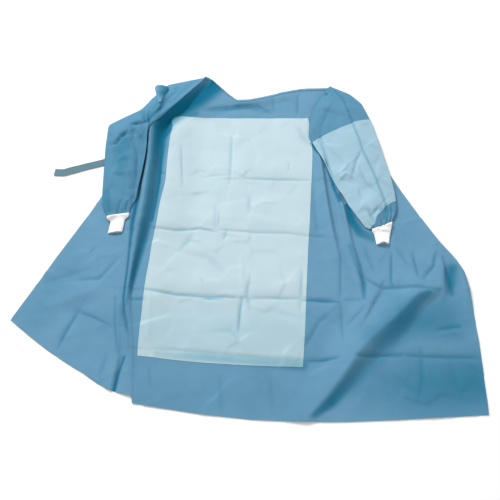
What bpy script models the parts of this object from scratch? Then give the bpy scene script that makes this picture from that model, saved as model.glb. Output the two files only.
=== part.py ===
"""A surgical gown laid out on its back panels, seen with the front up.

Metres, +Z up. The hem is at -Y, the neck at +Y, and the cloth rests on z = 0.
Right and left are the wearer's: the right side of the gown is at -X.
"""
import bpy
import bmesh
import math
from mathutils import Matrix, Vector
from mathutils.bvhtree import BVHTree

# Cloth thicknesses and the gap that is kept at each seam
CLOTH = 0.0012
LAMINATE = 0.0010
KNIT = 0.0015
STRAP = 0.0012
SEAM_GAP = 0.0003
LAY_GAP = 0.0006

# Pitch of the cloth's grids
ROWS_PER_SECTION = 2
COLUMNS_ON_REINFORCEMENT = 10
COLUMNS_ON_FRONT_SIDE = 6
COLUMNS_ON_BACK_LEFT = 12
COLUMNS_ON_BACK_RIGHT = 6
COLUMNS_ON_SLEEVE = 12
COLUMNS_ON_CUFF = 10
ROWS_PER_SLEEVE_SECTION = 2

# The front, from the neck binding down to the hem. y is the section's own level.
# seam is the crest of the long pleat, where the right back panel is sewn on.
# bib is the reinforcement, between its two edges. side is the left side seam.
FRONT_SECTIONS = (
    # y, seam, seam_z, trough, trough_z, bib_right, bib_right_z, bib_left, side
    (0.560, -0.140, 0.024, -0.122, 0.016, -0.104, 0.010, 0.225, 0.356),
    (0.548, -0.149, 0.026, -0.130, 0.016, -0.110, 0.008, 0.228, 0.356),
    (0.530, -0.181, 0.032, -0.152, 0.010, -0.122, 0.006, 0.232, 0.352),
    (0.500, -0.234, 0.038, -0.200, 0.008, -0.165, 0.006, 0.245, 0.345),
    (0.470, -0.289, 0.042, -0.275, 0.006, -0.264, 0.012, 0.256, 0.340),
    (0.410, -0.334, 0.042, -0.298, 0.004, -0.267, 0.018, 0.260, 0.328),
    (0.310, -0.335, 0.038, -0.316, 0.004, -0.271, 0.019, 0.265, 0.315),
    (0.230, -0.333, 0.036, -0.317, 0.004, -0.272, 0.019, 0.260, 0.308),
    (0.150, -0.339, 0.035, -0.323, 0.004, -0.273, 0.019, 0.253, 0.308),
    (0.070, -0.341, 0.034, -0.325, 0.004, -0.284, 0.018, 0.246, 0.314),
    (-0.010, -0.349, 0.033, -0.333, 0.004, -0.290, 0.016, 0.239, 0.324),
    (-0.090, -0.355, 0.029, -0.343, 0.004, -0.299, 0.014, 0.231, 0.338),
    (-0.170, -0.357, 0.024, -0.346, 0.004, -0.304, 0.012, 0.224, 0.354),
    (-0.250, -0.360, 0.019, -0.347, 0.005, -0.310, 0.011, 0.217, 0.371),
    (-0.330, -0.358, 0.016, -0.343, 0.008, -0.312, 0.012, 0.210, 0.388),
    (-0.410, -0.344, 0.013, -0.330, 0.009, -0.313, 0.012, 0.202, 0.404),
    (-0.500, -0.328, 0.010, -0.321, 0.007, -0.312, 0.006, 0.192, 0.424),
    (-0.560, -0.320, 0.008, -0.312, 0.006, -0.303, 0.004, 0.186, 0.437),
    (-0.620, -0.313, 0.006, -0.304, 0.005, -0.295, 0.003, 0.182, 0.448),
    (-0.640, -0.310, 0.005, -0.302, 0.004, -0.293, 0.003, 0.180, 0.452),
)
SEAM, SEAM_Z, TROUGH, TROUGH_Z, BIB_RIGHT, BIB_RIGHT_Z, BIB_LEFT, SIDE = range(1, 9)
BIB_TOP_Y = 0.470
BIB_BOTTOM_Y = -0.500
BINDING_Y = 0.548
BIB_SLOPE = 0.140

# Each back panel, by the same levels. edge is its free centre-back edge.
BACK_RIGHT_SECTIONS = (
    # y, edge_x, edge_y, foot of the pleat from its crest
    (0.410, -0.455, 0.440, 0.015),
    (0.230, -0.480, 0.300, 0.015),
    (0.070, -0.486, 0.130, 0.015),
    (-0.010, -0.515, 0.060, 0.015),
    (-0.170, -0.574, -0.060, 0.014),
    (-0.330, -0.633, -0.180, 0.018),
    (-0.500, -0.687, -0.293, 0.022),
    (-0.620, -0.728, -0.378, 0.053),
)
BACK_LEFT_SECTIONS = (
    # y, edge_x, edge_y
    (0.560, 0.380, 0.580),
    (0.440, 0.455, 0.480),
    (0.310, 0.500, 0.370),
    (0.230, 0.518, 0.280),
    (0.150, 0.537, 0.212),
    (0.070, 0.568, 0.138),
    (-0.010, 0.602, 0.064),
    (-0.090, 0.638, -0.012),
    (-0.170, 0.677, -0.092),
    (-0.250, 0.719, -0.162),
    (-0.290, 0.740, -0.212),
    (-0.330, 0.746, -0.262),
    (-0.410, 0.745, -0.370),
    (-0.500, 0.741, -0.485),
    (-0.620, 0.730, -0.648),
    (-0.640, 0.728, -0.676),
)
EDGE_X, EDGE_Y, FOOT = range(1, 4)

# The curves of the neckline and the hem
NECKLINE = (
    # x, y
    (-0.400, 0.667),
    (-0.137, 0.667),
    (-0.115, 0.650),
    (-0.060, 0.590),
    (-0.020, 0.560),
    (0.032, 0.563),
    (0.079, 0.577),
    (0.151, 0.601),
    (0.235, 0.622),
    (0.354, 0.623),
    (0.500, 0.623),
)
HEM = (
    # x, y
    (-0.400, -0.634),
    (-0.310, -0.642),
    (-0.215, -0.658),
    (-0.115, -0.673),
    (0.032, -0.689),
    (0.177, -0.696),
    (0.307, -0.696),
    (0.468, -0.690),
    (0.728, -0.676),
)
NECK_LEVEL = 0.560
HEM_LEVEL = -0.640
HEM_CURVE_START = -0.250
RIGHT_HEM_BOW = 0.024
PLEAT_HEM_BOW = 0.011
PLEAT_HEM_FROM = 0.62

# The largest folds, as crest lines. right and left are the widths of the two
# slopes, seen along the line.
FOLDS = {
    "hem_diagonal": (
        # x, y, height, left, right
        (0.640, -0.165, 0.003, 0.050, 0.060),
        (0.605, -0.225, 0.014, 0.055, 0.080),
        (0.531, -0.273, 0.020, 0.055, 0.090),
        (0.457, -0.378, 0.024, 0.055, 0.100),
        (0.343, -0.471, 0.022, 0.055, 0.100),
        (0.277, -0.536, 0.016, 0.055, 0.080),
        (0.178, -0.642, 0.007, 0.050, 0.060),
    ),
    "armpit": (
        (0.292, 0.247, 0.010, 0.035, 0.025),
        (0.297, 0.141, 0.013, 0.035, 0.025),
        (0.310, 0.013, 0.011, 0.035, 0.025),
        (0.324, -0.088, 0.007, 0.035, 0.025),
        (0.348, -0.173, 0.002, 0.035, 0.025),
    ),
    "under_sleeve": (
        (0.352, 0.066, 0.008, 0.035, 0.028),
        (0.376, -0.025, 0.012, 0.035, 0.028),
        (0.394, -0.115, 0.009, 0.035, 0.028),
        (0.404, -0.255, 0.002, 0.035, 0.028),
    ),
    "neck_lip": (
        (-0.085, 0.596, 0.004, 0.045, 0.045),
        (-0.020, 0.542, 0.009, 0.045, 0.045),
        (0.079, 0.557, 0.008, 0.045, 0.045),
        (0.200, 0.596, 0.003, 0.045, 0.045),
    ),
    "back_edge_roll": (
        (0.640, -0.035, 0.002, 0.045, 0.030),
        (0.702, -0.155, 0.010, 0.045, 0.030),
        (0.722, -0.230, 0.012, 0.045, 0.030),
        (0.722, -0.335, 0.003, 0.045, 0.030),
    ),
}
FLAT_BELOW = 0.0004

# Each sleeve is a flattened tube. Its sections run from the underarm fold to the
# overarm fold; bow moves a section's middle towards the neck, and the heights are
# those of its underside.
SLEEVE_RIGHT_SECTIONS = (
    # under_x, under_y, over_x, over_y, bow, under_z, over_z, crown
    (-0.342, 0.397, -0.1425, 0.6735, 0.000, 0.034, 0.020, 0.010),
    (-0.352, 0.388, -0.226, 0.661, 0.003, 0.024, 0.008, 0.012),
    (-0.357, 0.374, -0.299, 0.647, 0.005, 0.014, 0.002, 0.012),
    (-0.359, 0.352, -0.355, 0.575, 0.006, 0.008, 0.001, 0.012),
    (-0.358, 0.332, -0.393, 0.512, 0.008, 0.006, 0.005, 0.010),
    (-0.359, 0.309, -0.462, 0.467, 0.006, 0.004, 0.005, 0.008),
    (-0.361, 0.280, -0.512, 0.432, 0.004, 0.004, 0.005, 0.006),
    (-0.363, 0.235, -0.511, 0.319, 0.002, 0.004, 0.005, 0.006),
    (-0.366, 0.174, -0.503, 0.203, 0.000, 0.004, 0.005, 0.006),
    (-0.377, 0.084, -0.496, 0.107, 0.000, 0.004, 0.005, 0.006),
    (-0.388, 0.044, -0.489, 0.053, 0.000, 0.003, 0.004, 0.004),
    (-0.391, 0.026, -0.468, 0.010, 0.000, 0.002, 0.002, 0.002),
)
SLEEVE_LEFT_SECTIONS = (
    # under_x, under_y, over_x, over_y, bow, under_z, over_z, crown
    (0.254, 0.369, 0.352, 0.634, 0.026, 0.006, 0.008, 0.004),
    (0.258, 0.362, 0.427, 0.589, 0.024, 0.006, 0.010, 0.006),
    (0.263, 0.353, 0.470, 0.538, 0.020, 0.006, 0.010, 0.008),
    (0.268, 0.343, 0.499, 0.440, 0.010, 0.006, 0.010, 0.008),
    (0.297, 0.270, 0.518, 0.333, 0.004, 0.006, 0.010, 0.008),
    (0.317, 0.213, 0.531, 0.248, 0.002, 0.006, 0.010, 0.008),
    (0.337, 0.156, 0.541, 0.180, 0.000, 0.006, 0.010, 0.008),
    (0.376, 0.065, 0.547, 0.114, 0.000, 0.006, 0.009, 0.008),
    (0.406, 0.008, 0.548, 0.055, 0.000, 0.006, 0.008, 0.008),
    (0.426, -0.018, 0.543, 0.022, 0.000, 0.004, 0.006, 0.006),
    (0.444, -0.030, 0.524, -0.014, 0.000, 0.003, 0.003, 0.004),
)
CUFF_RIGHT_SECTIONS = (
    (-0.391, 0.0255, -0.468, 0.0095, 0.000, 0.002, 0.002, 0.002),
    (-0.390, 0.014, -0.466, 0.000, 0.000, 0.001, 0.001, 0.002),
    (-0.404, -0.001, -0.453, -0.009, 0.000, 0.001, 0.001, 0.002),
    (-0.405, -0.026, -0.455, -0.032, 0.000, 0.001, 0.001, 0.002),
    (-0.409, -0.047, -0.457, -0.053, 0.000, 0.001, 0.001, 0.002),
)
CUFF_LEFT_SECTIONS = (
    (0.444, -0.0305, 0.524, -0.0145, 0.000, 0.003, 0.003, 0.004),
    (0.444, -0.042, 0.522, -0.027, 0.000, 0.002, 0.002, 0.003),
    (0.457, -0.056, 0.515, -0.047, 0.000, 0.001, 0.001, 0.003),
    (0.459, -0.078, 0.508, -0.076, 0.000, 0.001, 0.001, 0.003),
    (0.461, -0.101, 0.504, -0.099, 0.000, 0.001, 0.001, 0.003),
)
UNDER_X, UNDER_Y, OVER_X, OVER_Y, BOW, UNDER_Z, OVER_Z, CROWN = range(8)
SLEEVE_HOLLOW = 0.0030
SLEEVE_EDGE_HOLLOW = 0.0008
SLEEVE_EDGE = 0.005
REINFORCED_FROM = 3
REINFORCED_TO = 9

# The waist tie lies on the floor, and the neck tab stands on the shoulder
TIE_WIDTH = 0.030
TIE_ROUTE = (
    # x, y
    (-0.4875, 0.262),
    (-0.514, 0.252),
    (-0.577, 0.232),
    (-0.629, 0.214),
    (-0.650, 0.206),
    (-0.684, 0.208),
)
TAB_WIDTH = 0.042
TAB_ROUTE = (
    # x, y, height above the sleeve
    (-0.312, 0.530, 0.0),
    (-0.314, 0.549, 0.0),
    (-0.317, 0.568, 0.003),
    (-0.320, 0.587, 0.008),
    (-0.322, 0.604, 0.013),
    (-0.324, 0.619, 0.017),
    (-0.325, 0.632, 0.017),
    (-0.325, 0.644, 0.011),
)

# From the drawing's origin to the middle of the finished gown
TO_MIDDLE = (-0.009, 0.01125, 0.0)

# How far around a point the cloth beneath it is felt for
FEEL = 0.020
SEAT_REACH = 0.002

BLUE = (0.105, 0.305, 0.460, 1.0)
PALE_BLUE = (0.500, 0.680, 0.760, 1.0)
WHITE = (0.900, 0.880, 0.870, 1.0)
GREY_BLUE = (0.160, 0.330, 0.430, 1.0)


def clear_scene():
    for old in list(bpy.data.objects):
        bpy.data.objects.remove(old, do_unlink=True)


def new_collection(name):
    group = bpy.data.collections.new(name)
    bpy.context.scene.collection.children.link(group)
    return group


def fabric(name, colour, roughness):
    material = bpy.data.materials.new(name)
    material.use_nodes = True
    shader = material.node_tree.nodes["Principled BSDF"]
    shader.inputs["Base Color"].default_value = colour
    shader.inputs["Roughness"].default_value = roughness
    shader.inputs["Metallic"].default_value = 0.0
    return material


def ease(t):
    """From 0 to 1 with a level start and end."""
    t = min(max(t, 0.0), 1.0)
    return 0.5 - 0.5 * math.cos(math.pi * t)


def between(a, b, t):
    return a + (b - a) * t


def at_level(table, column, y):
    """A section table's column at a level between two of its rows."""
    if y >= table[0][0]:
        return table[0][column]
    for upper, lower in zip(table, table[1:]):
        if y >= lower[0]:
            t = (upper[0] - y) / (upper[0] - lower[0])
            return between(upper[column], lower[column], t)
    return table[-1][column]


def along_curve(curve, x):
    for first, second in zip(curve, curve[1:]):
        if x <= second[0]:
            t = max(0.0, (x - first[0]) / (second[0] - first[0]))
            return between(first[1], second[1], t)
    return curve[-1][1]


def levels(table):
    """The table's own levels, with more between them."""
    result = []
    for upper, lower in zip(table, table[1:]):
        for step in range(ROWS_PER_SECTION):
            result.append(between(upper[0], lower[0], step / ROWS_PER_SECTION))
    result.append(table[-1][0])
    return result


def front_y(x, level):
    """Where a level lies at x, between the neckline's curve and the hem's."""
    neck_share = min(1.0, max(0.0, (level - BIB_TOP_Y) / (BINDING_Y - BIB_TOP_Y)))
    hem_share = (HEM_CURVE_START - level) / (HEM_CURVE_START - HEM_LEVEL)
    hem_share = min(1.0, max(0.0, hem_share))
    neck_rise = along_curve(NECKLINE, x) - NECK_LEVEL
    hem_drop = along_curve(HEM, x) - HEM_LEVEL
    return level + neck_rise * neck_share + hem_drop * hem_share


def fold_height(fold, x, y):
    """The height that one fold gives the cloth at a point."""
    best = 0.0
    for first, second in zip(fold, fold[1:]):
        run = (second[0] - first[0], second[1] - first[1])
        length = math.hypot(*run)
        offset = (x - first[0], y - first[1])
        t = (offset[0] * run[0] + offset[1] * run[1]) / length ** 2
        t = min(max(t, 0.0), 1.0)
        away = (offset[0] - run[0] * t, offset[1] - run[1] * t)
        side = run[0] * away[1] - run[1] * away[0]
        width = between(first[3], second[3], t)
        if side < 0.0:
            width = between(first[4], second[4], t)
        share = 1.0 - ease(math.hypot(*away) / width)
        best = max(best, between(first[2], second[2], t) * share)
    return best


def relief(x, y):
    height = 0.0
    for fold in FOLDS.values():
        height = max(height, fold_height(fold, x, y))
    return height


def cloth_point(x, y, lift=0.0):
    """A point of the cloth's upper side, pressed flat where it hardly rises."""
    height = max(lift, relief(x, y))
    if height < FLAT_BELOW:
        height = 0.0
    return Vector((x, y, CLOTH + height))


def spaced(start, end, count):
    return [between(start, end, step / count) for step in range(count + 1)]


def front_row(level):
    row = {column: at_level(FRONT_SECTIONS, column, level) for column in range(1, 9)}
    columns = [(row[SEAM] + SEAM_GAP / 2, row[SEAM_Z]), (row[TROUGH], row[TROUGH_Z])]
    for x in spaced(row[BIB_RIGHT], row[BIB_LEFT], COLUMNS_ON_REINFORCEMENT):
        fall = 1.0 - ease((x - row[BIB_RIGHT]) / BIB_SLOPE)
        columns.append((x, row[BIB_RIGHT_Z] * fall))
    side = row[SIDE] - SEAM_GAP / 2
    for x in spaced(row[BIB_LEFT], side, COLUMNS_ON_FRONT_SIDE)[1:]:
        columns.append((x, 0.0))
    return [cloth_point(x, front_y(x, level), lift) for x, lift in columns]


def back_left_row(level):
    side = at_level(FRONT_SECTIONS, SIDE, level)
    side_y = front_y(side, level)
    edge_x = at_level(BACK_LEFT_SECTIONS, EDGE_X, level)
    edge_y = at_level(BACK_LEFT_SECTIONS, EDGE_Y, level)
    row = []
    for share in spaced(0.0, 1.0, COLUMNS_ON_BACK_LEFT):
        x = between(side + SEAM_GAP / 2, edge_x, share)
        row.append(cloth_point(x, between(side_y, edge_y, share)))
    return row


def back_right_row(level):
    crest = at_level(FRONT_SECTIONS, SEAM, level) - SEAM_GAP / 2
    crest_z = at_level(FRONT_SECTIONS, SEAM_Z, level)
    crest_y = front_y(crest, level)
    foot = crest - at_level(BACK_RIGHT_SECTIONS, FOOT, level)
    edge_x = at_level(BACK_RIGHT_SECTIONS, EDGE_X, level)
    edge_y = at_level(BACK_RIGHT_SECTIONS, EDGE_Y, level)
    near_hem = ease((HEM_CURVE_START - level) / (HEM_CURVE_START - HEM_LEVEL))
    row = []
    for x in spaced(edge_x, foot, COLUMNS_ON_BACK_RIGHT):
        share = (x - edge_x) / (crest - edge_x)
        pleat_share = max(0.0, (share - PLEAT_HEM_FROM) / (1.0 - PLEAT_HEM_FROM))
        sag = RIGHT_HEM_BOW * math.sin(math.pi * share)
        sag += PLEAT_HEM_BOW * math.sin(math.pi * pleat_share)
        sag *= near_hem
        row.append(cloth_point(x, between(edge_y, crest_y, share) - sag))
    row.append(cloth_point(crest, crest_y, crest_z))
    return row


def steepness(grid, row, column):
    """How much longer the wall is when it is measured straight down."""
    above = grid[max(row - 1, 0)][column]
    below = grid[min(row + 1, len(grid) - 1)][column]
    before = grid[row][max(column - 1, 0)]
    after = grid[row][min(column + 1, len(grid[row]) - 1)]
    normal = (after - before).cross(above - below)
    if normal.length < 1e-9 or normal.z == 0.0:
        return 1.0
    return min(2.0, normal.length / abs(normal.z))


def raised(grid, distance):
    """The grid moved out from its cloth, by the distance across the wall."""
    result = []
    for row_index, row in enumerate(grid):
        moved = []
        for column_index, point in enumerate(row):
            rise = distance * steepness(grid, row_index, column_index)
            moved.append(point + Vector((0.0, 0.0, rise)))
        result.append(moved)
    return result


def underside(grid):
    """The lower side of the cloth, flat on the floor where the cloth rests."""
    result = raised(grid, -CLOTH)
    for row_index, row in enumerate(result):
        for column_index, point in enumerate(row):
            if grid[row_index][column_index].z < CLOTH + FLAT_BELOW:
                point.z = 0.0
            point.z = max(point.z, 0.0)
    return result


def wall_faces(upper, lower, bm):
    """Close the space between two grids of the same size with triangles."""
    rows = len(upper)
    columns = len(upper[0])
    top = [[bm.verts.new(point) for point in row] for row in upper]
    base = [[bm.verts.new(point) for point in row] for row in lower]
    for i in range(rows - 1):
        for j in range(columns - 1):
            quad = (top[i][j], top[i + 1][j], top[i + 1][j + 1], top[i][j + 1])
            bm.faces.new((quad[0], quad[1], quad[2]))
            bm.faces.new((quad[0], quad[2], quad[3]))
            quad = (base[i][j], base[i + 1][j], base[i + 1][j + 1], base[i][j + 1])
            bm.faces.new((quad[2], quad[1], quad[0]))
            bm.faces.new((quad[3], quad[2], quad[0]))
    rim_top = rim(top)
    rim_base = rim(base)
    for index in range(len(rim_top)):
        following = (index + 1) % len(rim_top)
        a, b = rim_top[index], rim_top[following]
        c, d = rim_base[index], rim_base[following]
        bm.faces.new((a, c, d))
        bm.faces.new((a, d, b))


def rim(grid):
    """The outer points of a grid, in order around it."""
    points = list(grid[0])
    points += [row[-1] for row in grid[1:]]
    points += list(reversed(grid[-1]))[1:]
    points += [row[0] for row in reversed(grid[1:-1])]
    return points


def finish(name, bm, material, collection):
    bmesh.ops.recalc_face_normals(bm, faces=bm.faces)
    mesh = bpy.data.meshes.new(name)
    bm.to_mesh(mesh)
    bm.free()
    mesh.materials.append(material)
    mesh.shade_smooth()
    mesh.set_sharp_from_angle(angle=math.radians(50.0))
    piece = bpy.data.objects.new(name, mesh)
    collection.objects.link(piece)
    return piece


def make_wall(name, upper, lower, material, collection):
    bm = bmesh.new()
    wall_faces(upper, lower, bm)
    return finish(name, bm, material, collection)


class Pile:
    """The pieces that are already laid down, felt from above."""

    def __init__(self):
        self.points = []
        self.faces = []
        self.tree = None

    def add(self, piece):
        start = len(self.points)
        self.points += [vertex.co.copy() for vertex in piece.data.vertices]
        for face in piece.data.polygons:
            self.faces.append([start + index for index in face.vertices])
        self.tree = BVHTree.FromPolygons(self.points, self.faces)

    def top(self, x, y):
        hit = self.tree.ray_cast(Vector((x, y, 1.0)), Vector((0.0, 0.0, -1.0)))
        return hit[0].z if hit[0] else 0.0

    def clear_above(self, x, y):
        """The height that clears all that lies near this point."""
        height = self.top(x, y)
        for point in self.points:
            if abs(point.x - x) < FEEL and abs(point.y - y) < FEEL:
                height = max(height, point.z)
        for step in range(12):
            angle = math.pi * step / 6
            for reach in (FEEL / 3, FEEL * 2 / 3, FEEL):
                dx = reach * math.cos(angle)
                dy = reach * math.sin(angle)
                height = max(height, self.top(x + dx, y + dy))
        return height + LAY_GAP

    def seat(self, x, y, width):
        """The height at which a narrow strip across this point just rests."""
        places = spaced(x - width / 2, x + width / 2, 6)
        near = (y - SEAT_REACH, y, y + SEAT_REACH)
        return max(self.top(a, b) for a in places for b in near) + SEAM_GAP


def sleeve_shares(width, columns):
    """Places across a flattened tube: both folds, a point near each, and the rest."""
    near = SLEEVE_EDGE / width
    return [0.0] + spaced(near, 1.0 - near, columns - 2) + [1.0]


def tube_sections(table, steps):
    result = []
    for first, second in zip(table, table[1:]):
        for step in range(steps):
            t = step / steps
            result.append([between(a, b, t) for a, b in zip(first, second)])
    result.append(list(table[-1]))
    return result


def tube_profile(section, pile, columns, wall, extra):
    """The underside of a flattened tube and its hollow, across one section."""
    under = Vector((section[UNDER_X], section[UNDER_Y], 0.0))
    over = Vector((section[OVER_X], section[OVER_Y], 0.0))
    across = over - under
    to_neck = Vector((-across.y, across.x, 0.0)).normalized()
    if to_neck.x * (over.x) > 0.0:
        to_neck.negate()
    profile = []
    for share in sleeve_shares(across.length, columns):
        swell = math.sin(math.pi * share)
        place = under + across * share + to_neck * section[BOW] * swell
        height = between(section[UNDER_Z], section[OVER_Z], share)
        height += section[CROWN] * swell
        height = max(height, pile.clear_above(place.x, place.y) + extra)
        hollow = between(SLEEVE_EDGE_HOLLOW, SLEEVE_HOLLOW, math.sqrt(swell))
        profile.append((place, height, 2.0 * wall + hollow))
    return profile, across.normalized()


def ring(profile, across, out):
    """A closed loop around the tube, moved out from its outer side."""
    points = []
    last = len(profile) - 1
    for index, (place, height, depth) in enumerate(profile):
        if index == 0:
            points.append(place - across * out + Vector((0.0, 0.0, height + depth / 2)))
        elif index == last:
            points.append(place + across * out + Vector((0.0, 0.0, height + depth / 2)))
        else:
            points.append(place + Vector((0.0, 0.0, height + depth + out)))
    for place, height, depth in reversed(profile[1:-1]):
        points.append(place + Vector((0.0, 0.0, height - out)))
    return points


def make_tube(name, outer, inner, material, collection):
    """A wall between two stacks of rings, open at both ends."""
    bm = bmesh.new()
    out = [[bm.verts.new(point) for point in loop] for loop in outer]
    ins = [[bm.verts.new(point) for point in loop] for loop in inner]
    count = len(out[0])
    for i in range(len(out) - 1):
        for j in range(count):
            k = (j + 1) % count
            bm.faces.new((out[i][j], out[i][k], out[i + 1][k]))
            bm.faces.new((out[i][j], out[i + 1][k], out[i + 1][j]))
            bm.faces.new((ins[i][j], ins[i + 1][k], ins[i][k]))
            bm.faces.new((ins[i][j], ins[i + 1][j], ins[i + 1][k]))
    for end in (0, -1):
        for j in range(count):
            k = (j + 1) % count
            bm.faces.new((out[end][j], ins[end][j], ins[end][k]))
            bm.faces.new((out[end][j], ins[end][k], out[end][k]))
    return finish(name, bm, material, collection)


def make_strap(name, route, width, thickness, material, collection):
    """A flat strip along a route of (x, y, z) points on its lower side."""
    upper = []
    for index, point in enumerate(route):
        before = route[max(index - 1, 0)]
        after = route[min(index + 1, len(route) - 1)]
        run = Vector((after.x - before.x, after.y - before.y, 0.0)).normalized()
        half = Vector((-run.y, run.x, 0.0)) * width / 2
        upper.append([point - half, point + half])
    rise = Vector((0.0, 0.0, thickness))
    lower = upper
    upper = [[point + rise for point in row] for row in lower]
    return make_wall(name, upper, lower, material, collection)


def build_body(collection, blue, pale, pile):
    front_levels = levels(FRONT_SECTIONS)
    front = [front_row(level) for level in front_levels]
    pile.add(make_wall("front", front, underside(front), blue, collection))

    back_left = [back_left_row(level) for level in front_levels]
    pile.add(make_wall("back_left", back_left, underside(back_left), blue, collection))

    first = BACK_RIGHT_SECTIONS[0][0]
    last = BACK_RIGHT_SECTIONS[-1][0]
    right_levels = [level for level in front_levels if last - 1e-6 <= level <= first + 1e-6]
    back_right = [back_right_row(level) for level in right_levels]
    pile.add(make_wall("back_right", back_right, underside(back_right), blue, collection))

    low = raised(front, SEAM_GAP)
    high = raised(front, SEAM_GAP + LAMINATE)
    rows = [i for i, level in enumerate(front_levels)
            if BIB_BOTTOM_Y - 1e-6 <= level <= BIB_TOP_Y + 1e-6]
    bib = slice(2, 3 + COLUMNS_ON_REINFORCEMENT)
    pile.add(make_wall("front_reinforcement", [high[i][bib] for i in rows],
                       [low[i][bib] for i in rows], pale, collection))

    rows = [i for i, level in enumerate(front_levels) if level >= BINDING_Y - 1e-6]
    pile.add(make_wall("neck_binding", [high[i] for i in rows],
                       [low[i] for i in rows], blue, collection))


def build_sleeve(side, table, cuff_table, extra, collection, materials, pile):
    sections = tube_sections(table, ROWS_PER_SLEEVE_SECTION)
    profiles = [tube_profile(s, pile, COLUMNS_ON_SLEEVE, CLOTH, extra) for s in sections]
    outer = [ring(profile, across, 0.0) for profile, across in profiles]
    inner = [ring(profile, across, -CLOTH) for profile, across in profiles]
    make_tube("sleeve_" + side, outer, inner, materials["blue"], collection)

    sections = tube_sections(cuff_table, 1)
    cuffs = [tube_profile(s, pile, COLUMNS_ON_CUFF, KNIT, 0.0) for s in sections]
    outer = [ring(profile, across, 0.0) for profile, across in cuffs]
    inner = [ring(profile, across, -KNIT) for profile, across in cuffs]
    make_tube("cuff_" + side, outer, inner, materials["white"], collection)
    return profiles


def build():
    clear_scene()
    collection = new_collection("surgical_gown")
    materials = {
        "blue": fabric("nonwoven_blue", BLUE, 0.62),
        "pale": fabric("laminate_pale_blue", PALE_BLUE, 0.50),
        "white": fabric("knit_white", WHITE, 0.85),
        "grey": fabric("strap_grey_blue", GREY_BLUE, 0.65),
    }
    pile = Pile()
    build_body(collection, materials["blue"], materials["pale"], pile)

    tie = [Vector((x, y, 0.0)) for x, y in TIE_ROUTE]
    pile.add(make_strap("waist_tie", tie, TIE_WIDTH, STRAP, materials["grey"], collection))

    build_sleeve("right", SLEEVE_RIGHT_SECTIONS, CUFF_RIGHT_SECTIONS, 0.0,
                 collection, materials, pile)
    pile.add(bpy.data.objects["sleeve_right"])

    layered = SEAM_GAP + LAMINATE
    profiles = build_sleeve("left", SLEEVE_LEFT_SECTIONS, CUFF_LEFT_SECTIONS, layered,
                            collection, materials, pile)
    first = REINFORCED_FROM * ROWS_PER_SLEEVE_SECTION
    last = REINFORCED_TO * ROWS_PER_SLEEVE_SECTION
    covered = profiles[first:last + 1]
    outer = [ring(profile, across, layered) for profile, across in covered]
    inner = [ring(profile, across, SEAM_GAP) for profile, across in covered]
    make_tube("sleeve_left_reinforcement", outer, inner, materials["pale"], collection)

    tab = []
    for x, y, lift in TAB_ROUTE:
        tab.append(Vector((x, y, pile.seat(x, y, TAB_WIDTH) + lift)))
    make_strap("neck_tab", tab, TAB_WIDTH, STRAP, materials["blue"], collection)

    for piece in collection.objects:
        piece.data.transform(Matrix.Translation(TO_MIDDLE))


build()
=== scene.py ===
import math

import bpy
import numpy as np
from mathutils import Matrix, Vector
from mathutils.bvhtree import BVHTree


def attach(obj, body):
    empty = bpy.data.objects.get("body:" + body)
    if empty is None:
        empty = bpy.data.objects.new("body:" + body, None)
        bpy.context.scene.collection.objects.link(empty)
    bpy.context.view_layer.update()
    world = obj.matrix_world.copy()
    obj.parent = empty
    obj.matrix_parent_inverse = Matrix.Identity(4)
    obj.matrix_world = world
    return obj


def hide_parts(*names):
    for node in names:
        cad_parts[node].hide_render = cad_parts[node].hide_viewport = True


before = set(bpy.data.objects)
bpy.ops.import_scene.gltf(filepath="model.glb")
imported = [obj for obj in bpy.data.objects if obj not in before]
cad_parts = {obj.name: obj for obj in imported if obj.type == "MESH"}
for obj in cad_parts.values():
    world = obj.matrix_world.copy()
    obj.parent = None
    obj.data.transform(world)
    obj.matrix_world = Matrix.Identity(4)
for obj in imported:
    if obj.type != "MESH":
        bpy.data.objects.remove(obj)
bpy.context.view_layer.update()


# The view: the gown lies on a table and is seen from above its hem, 60 degrees
# over the table, with a normal lens from 2 m away.
VIEW_ELEVATION = math.radians(60.0)
VIEW_DISTANCE = 2.0
VIEW_LENS_MM = 42.5
VIEW_CENTRE = Vector((0.0225, -0.10825, 0.0))

camera_data = bpy.data.cameras.new("view")
camera_data.lens = VIEW_LENS_MM
camera_data.sensor_width = 36.0
camera = bpy.data.objects.new("view", camera_data)
camera.location = VIEW_CENTRE + VIEW_DISTANCE * Vector(
    (0.0, -math.cos(VIEW_ELEVATION), math.sin(VIEW_ELEVATION)))
camera.rotation_euler = (math.pi / 2 - VIEW_ELEVATION, 0.0, 0.0)
bpy.context.scene.collection.objects.link(camera)
bpy.context.scene.camera = camera


# The blue cloth: a spunbond nonwoven, three thin layers joined by a fine grid of
# bonded points. It has no weave, is matt, and keeps each crease of its packing.
CLOTH = 0.0006
CLOTH_ON_TABLE = 0.0010
BLUE = (0.140, 0.306, 0.447)
BLUE_DARK = (0.088, 0.240, 0.365)
# The colour that folds and creases of the blue cloth are painted towards: painted shade
BLUE_SHADED = (0.002, 0.142, 0.247)
BOND_PITCH = 0.0022
BOND_DEPTH = 0.0006
BOND_SHARE = 0.5
CLOUD_SCALE = 9.0
FIBRE_SCALE = 420.0
FIBRE_SHARE = 0.45
MOTTLE_START = 0.45
SHEEN_ROUGHNESS = 0.45
CLOTH_SPECULAR = 0.06


def node_of(tree, kind, **values):
    """A new shader node with the given settings and socket values."""
    made = tree.nodes.new(kind)
    for name, value in values.items():
        if hasattr(made, name):
            setattr(made, name, value)
        else:
            made.inputs[name.replace("_", " ")].default_value = value
    return made


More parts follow.
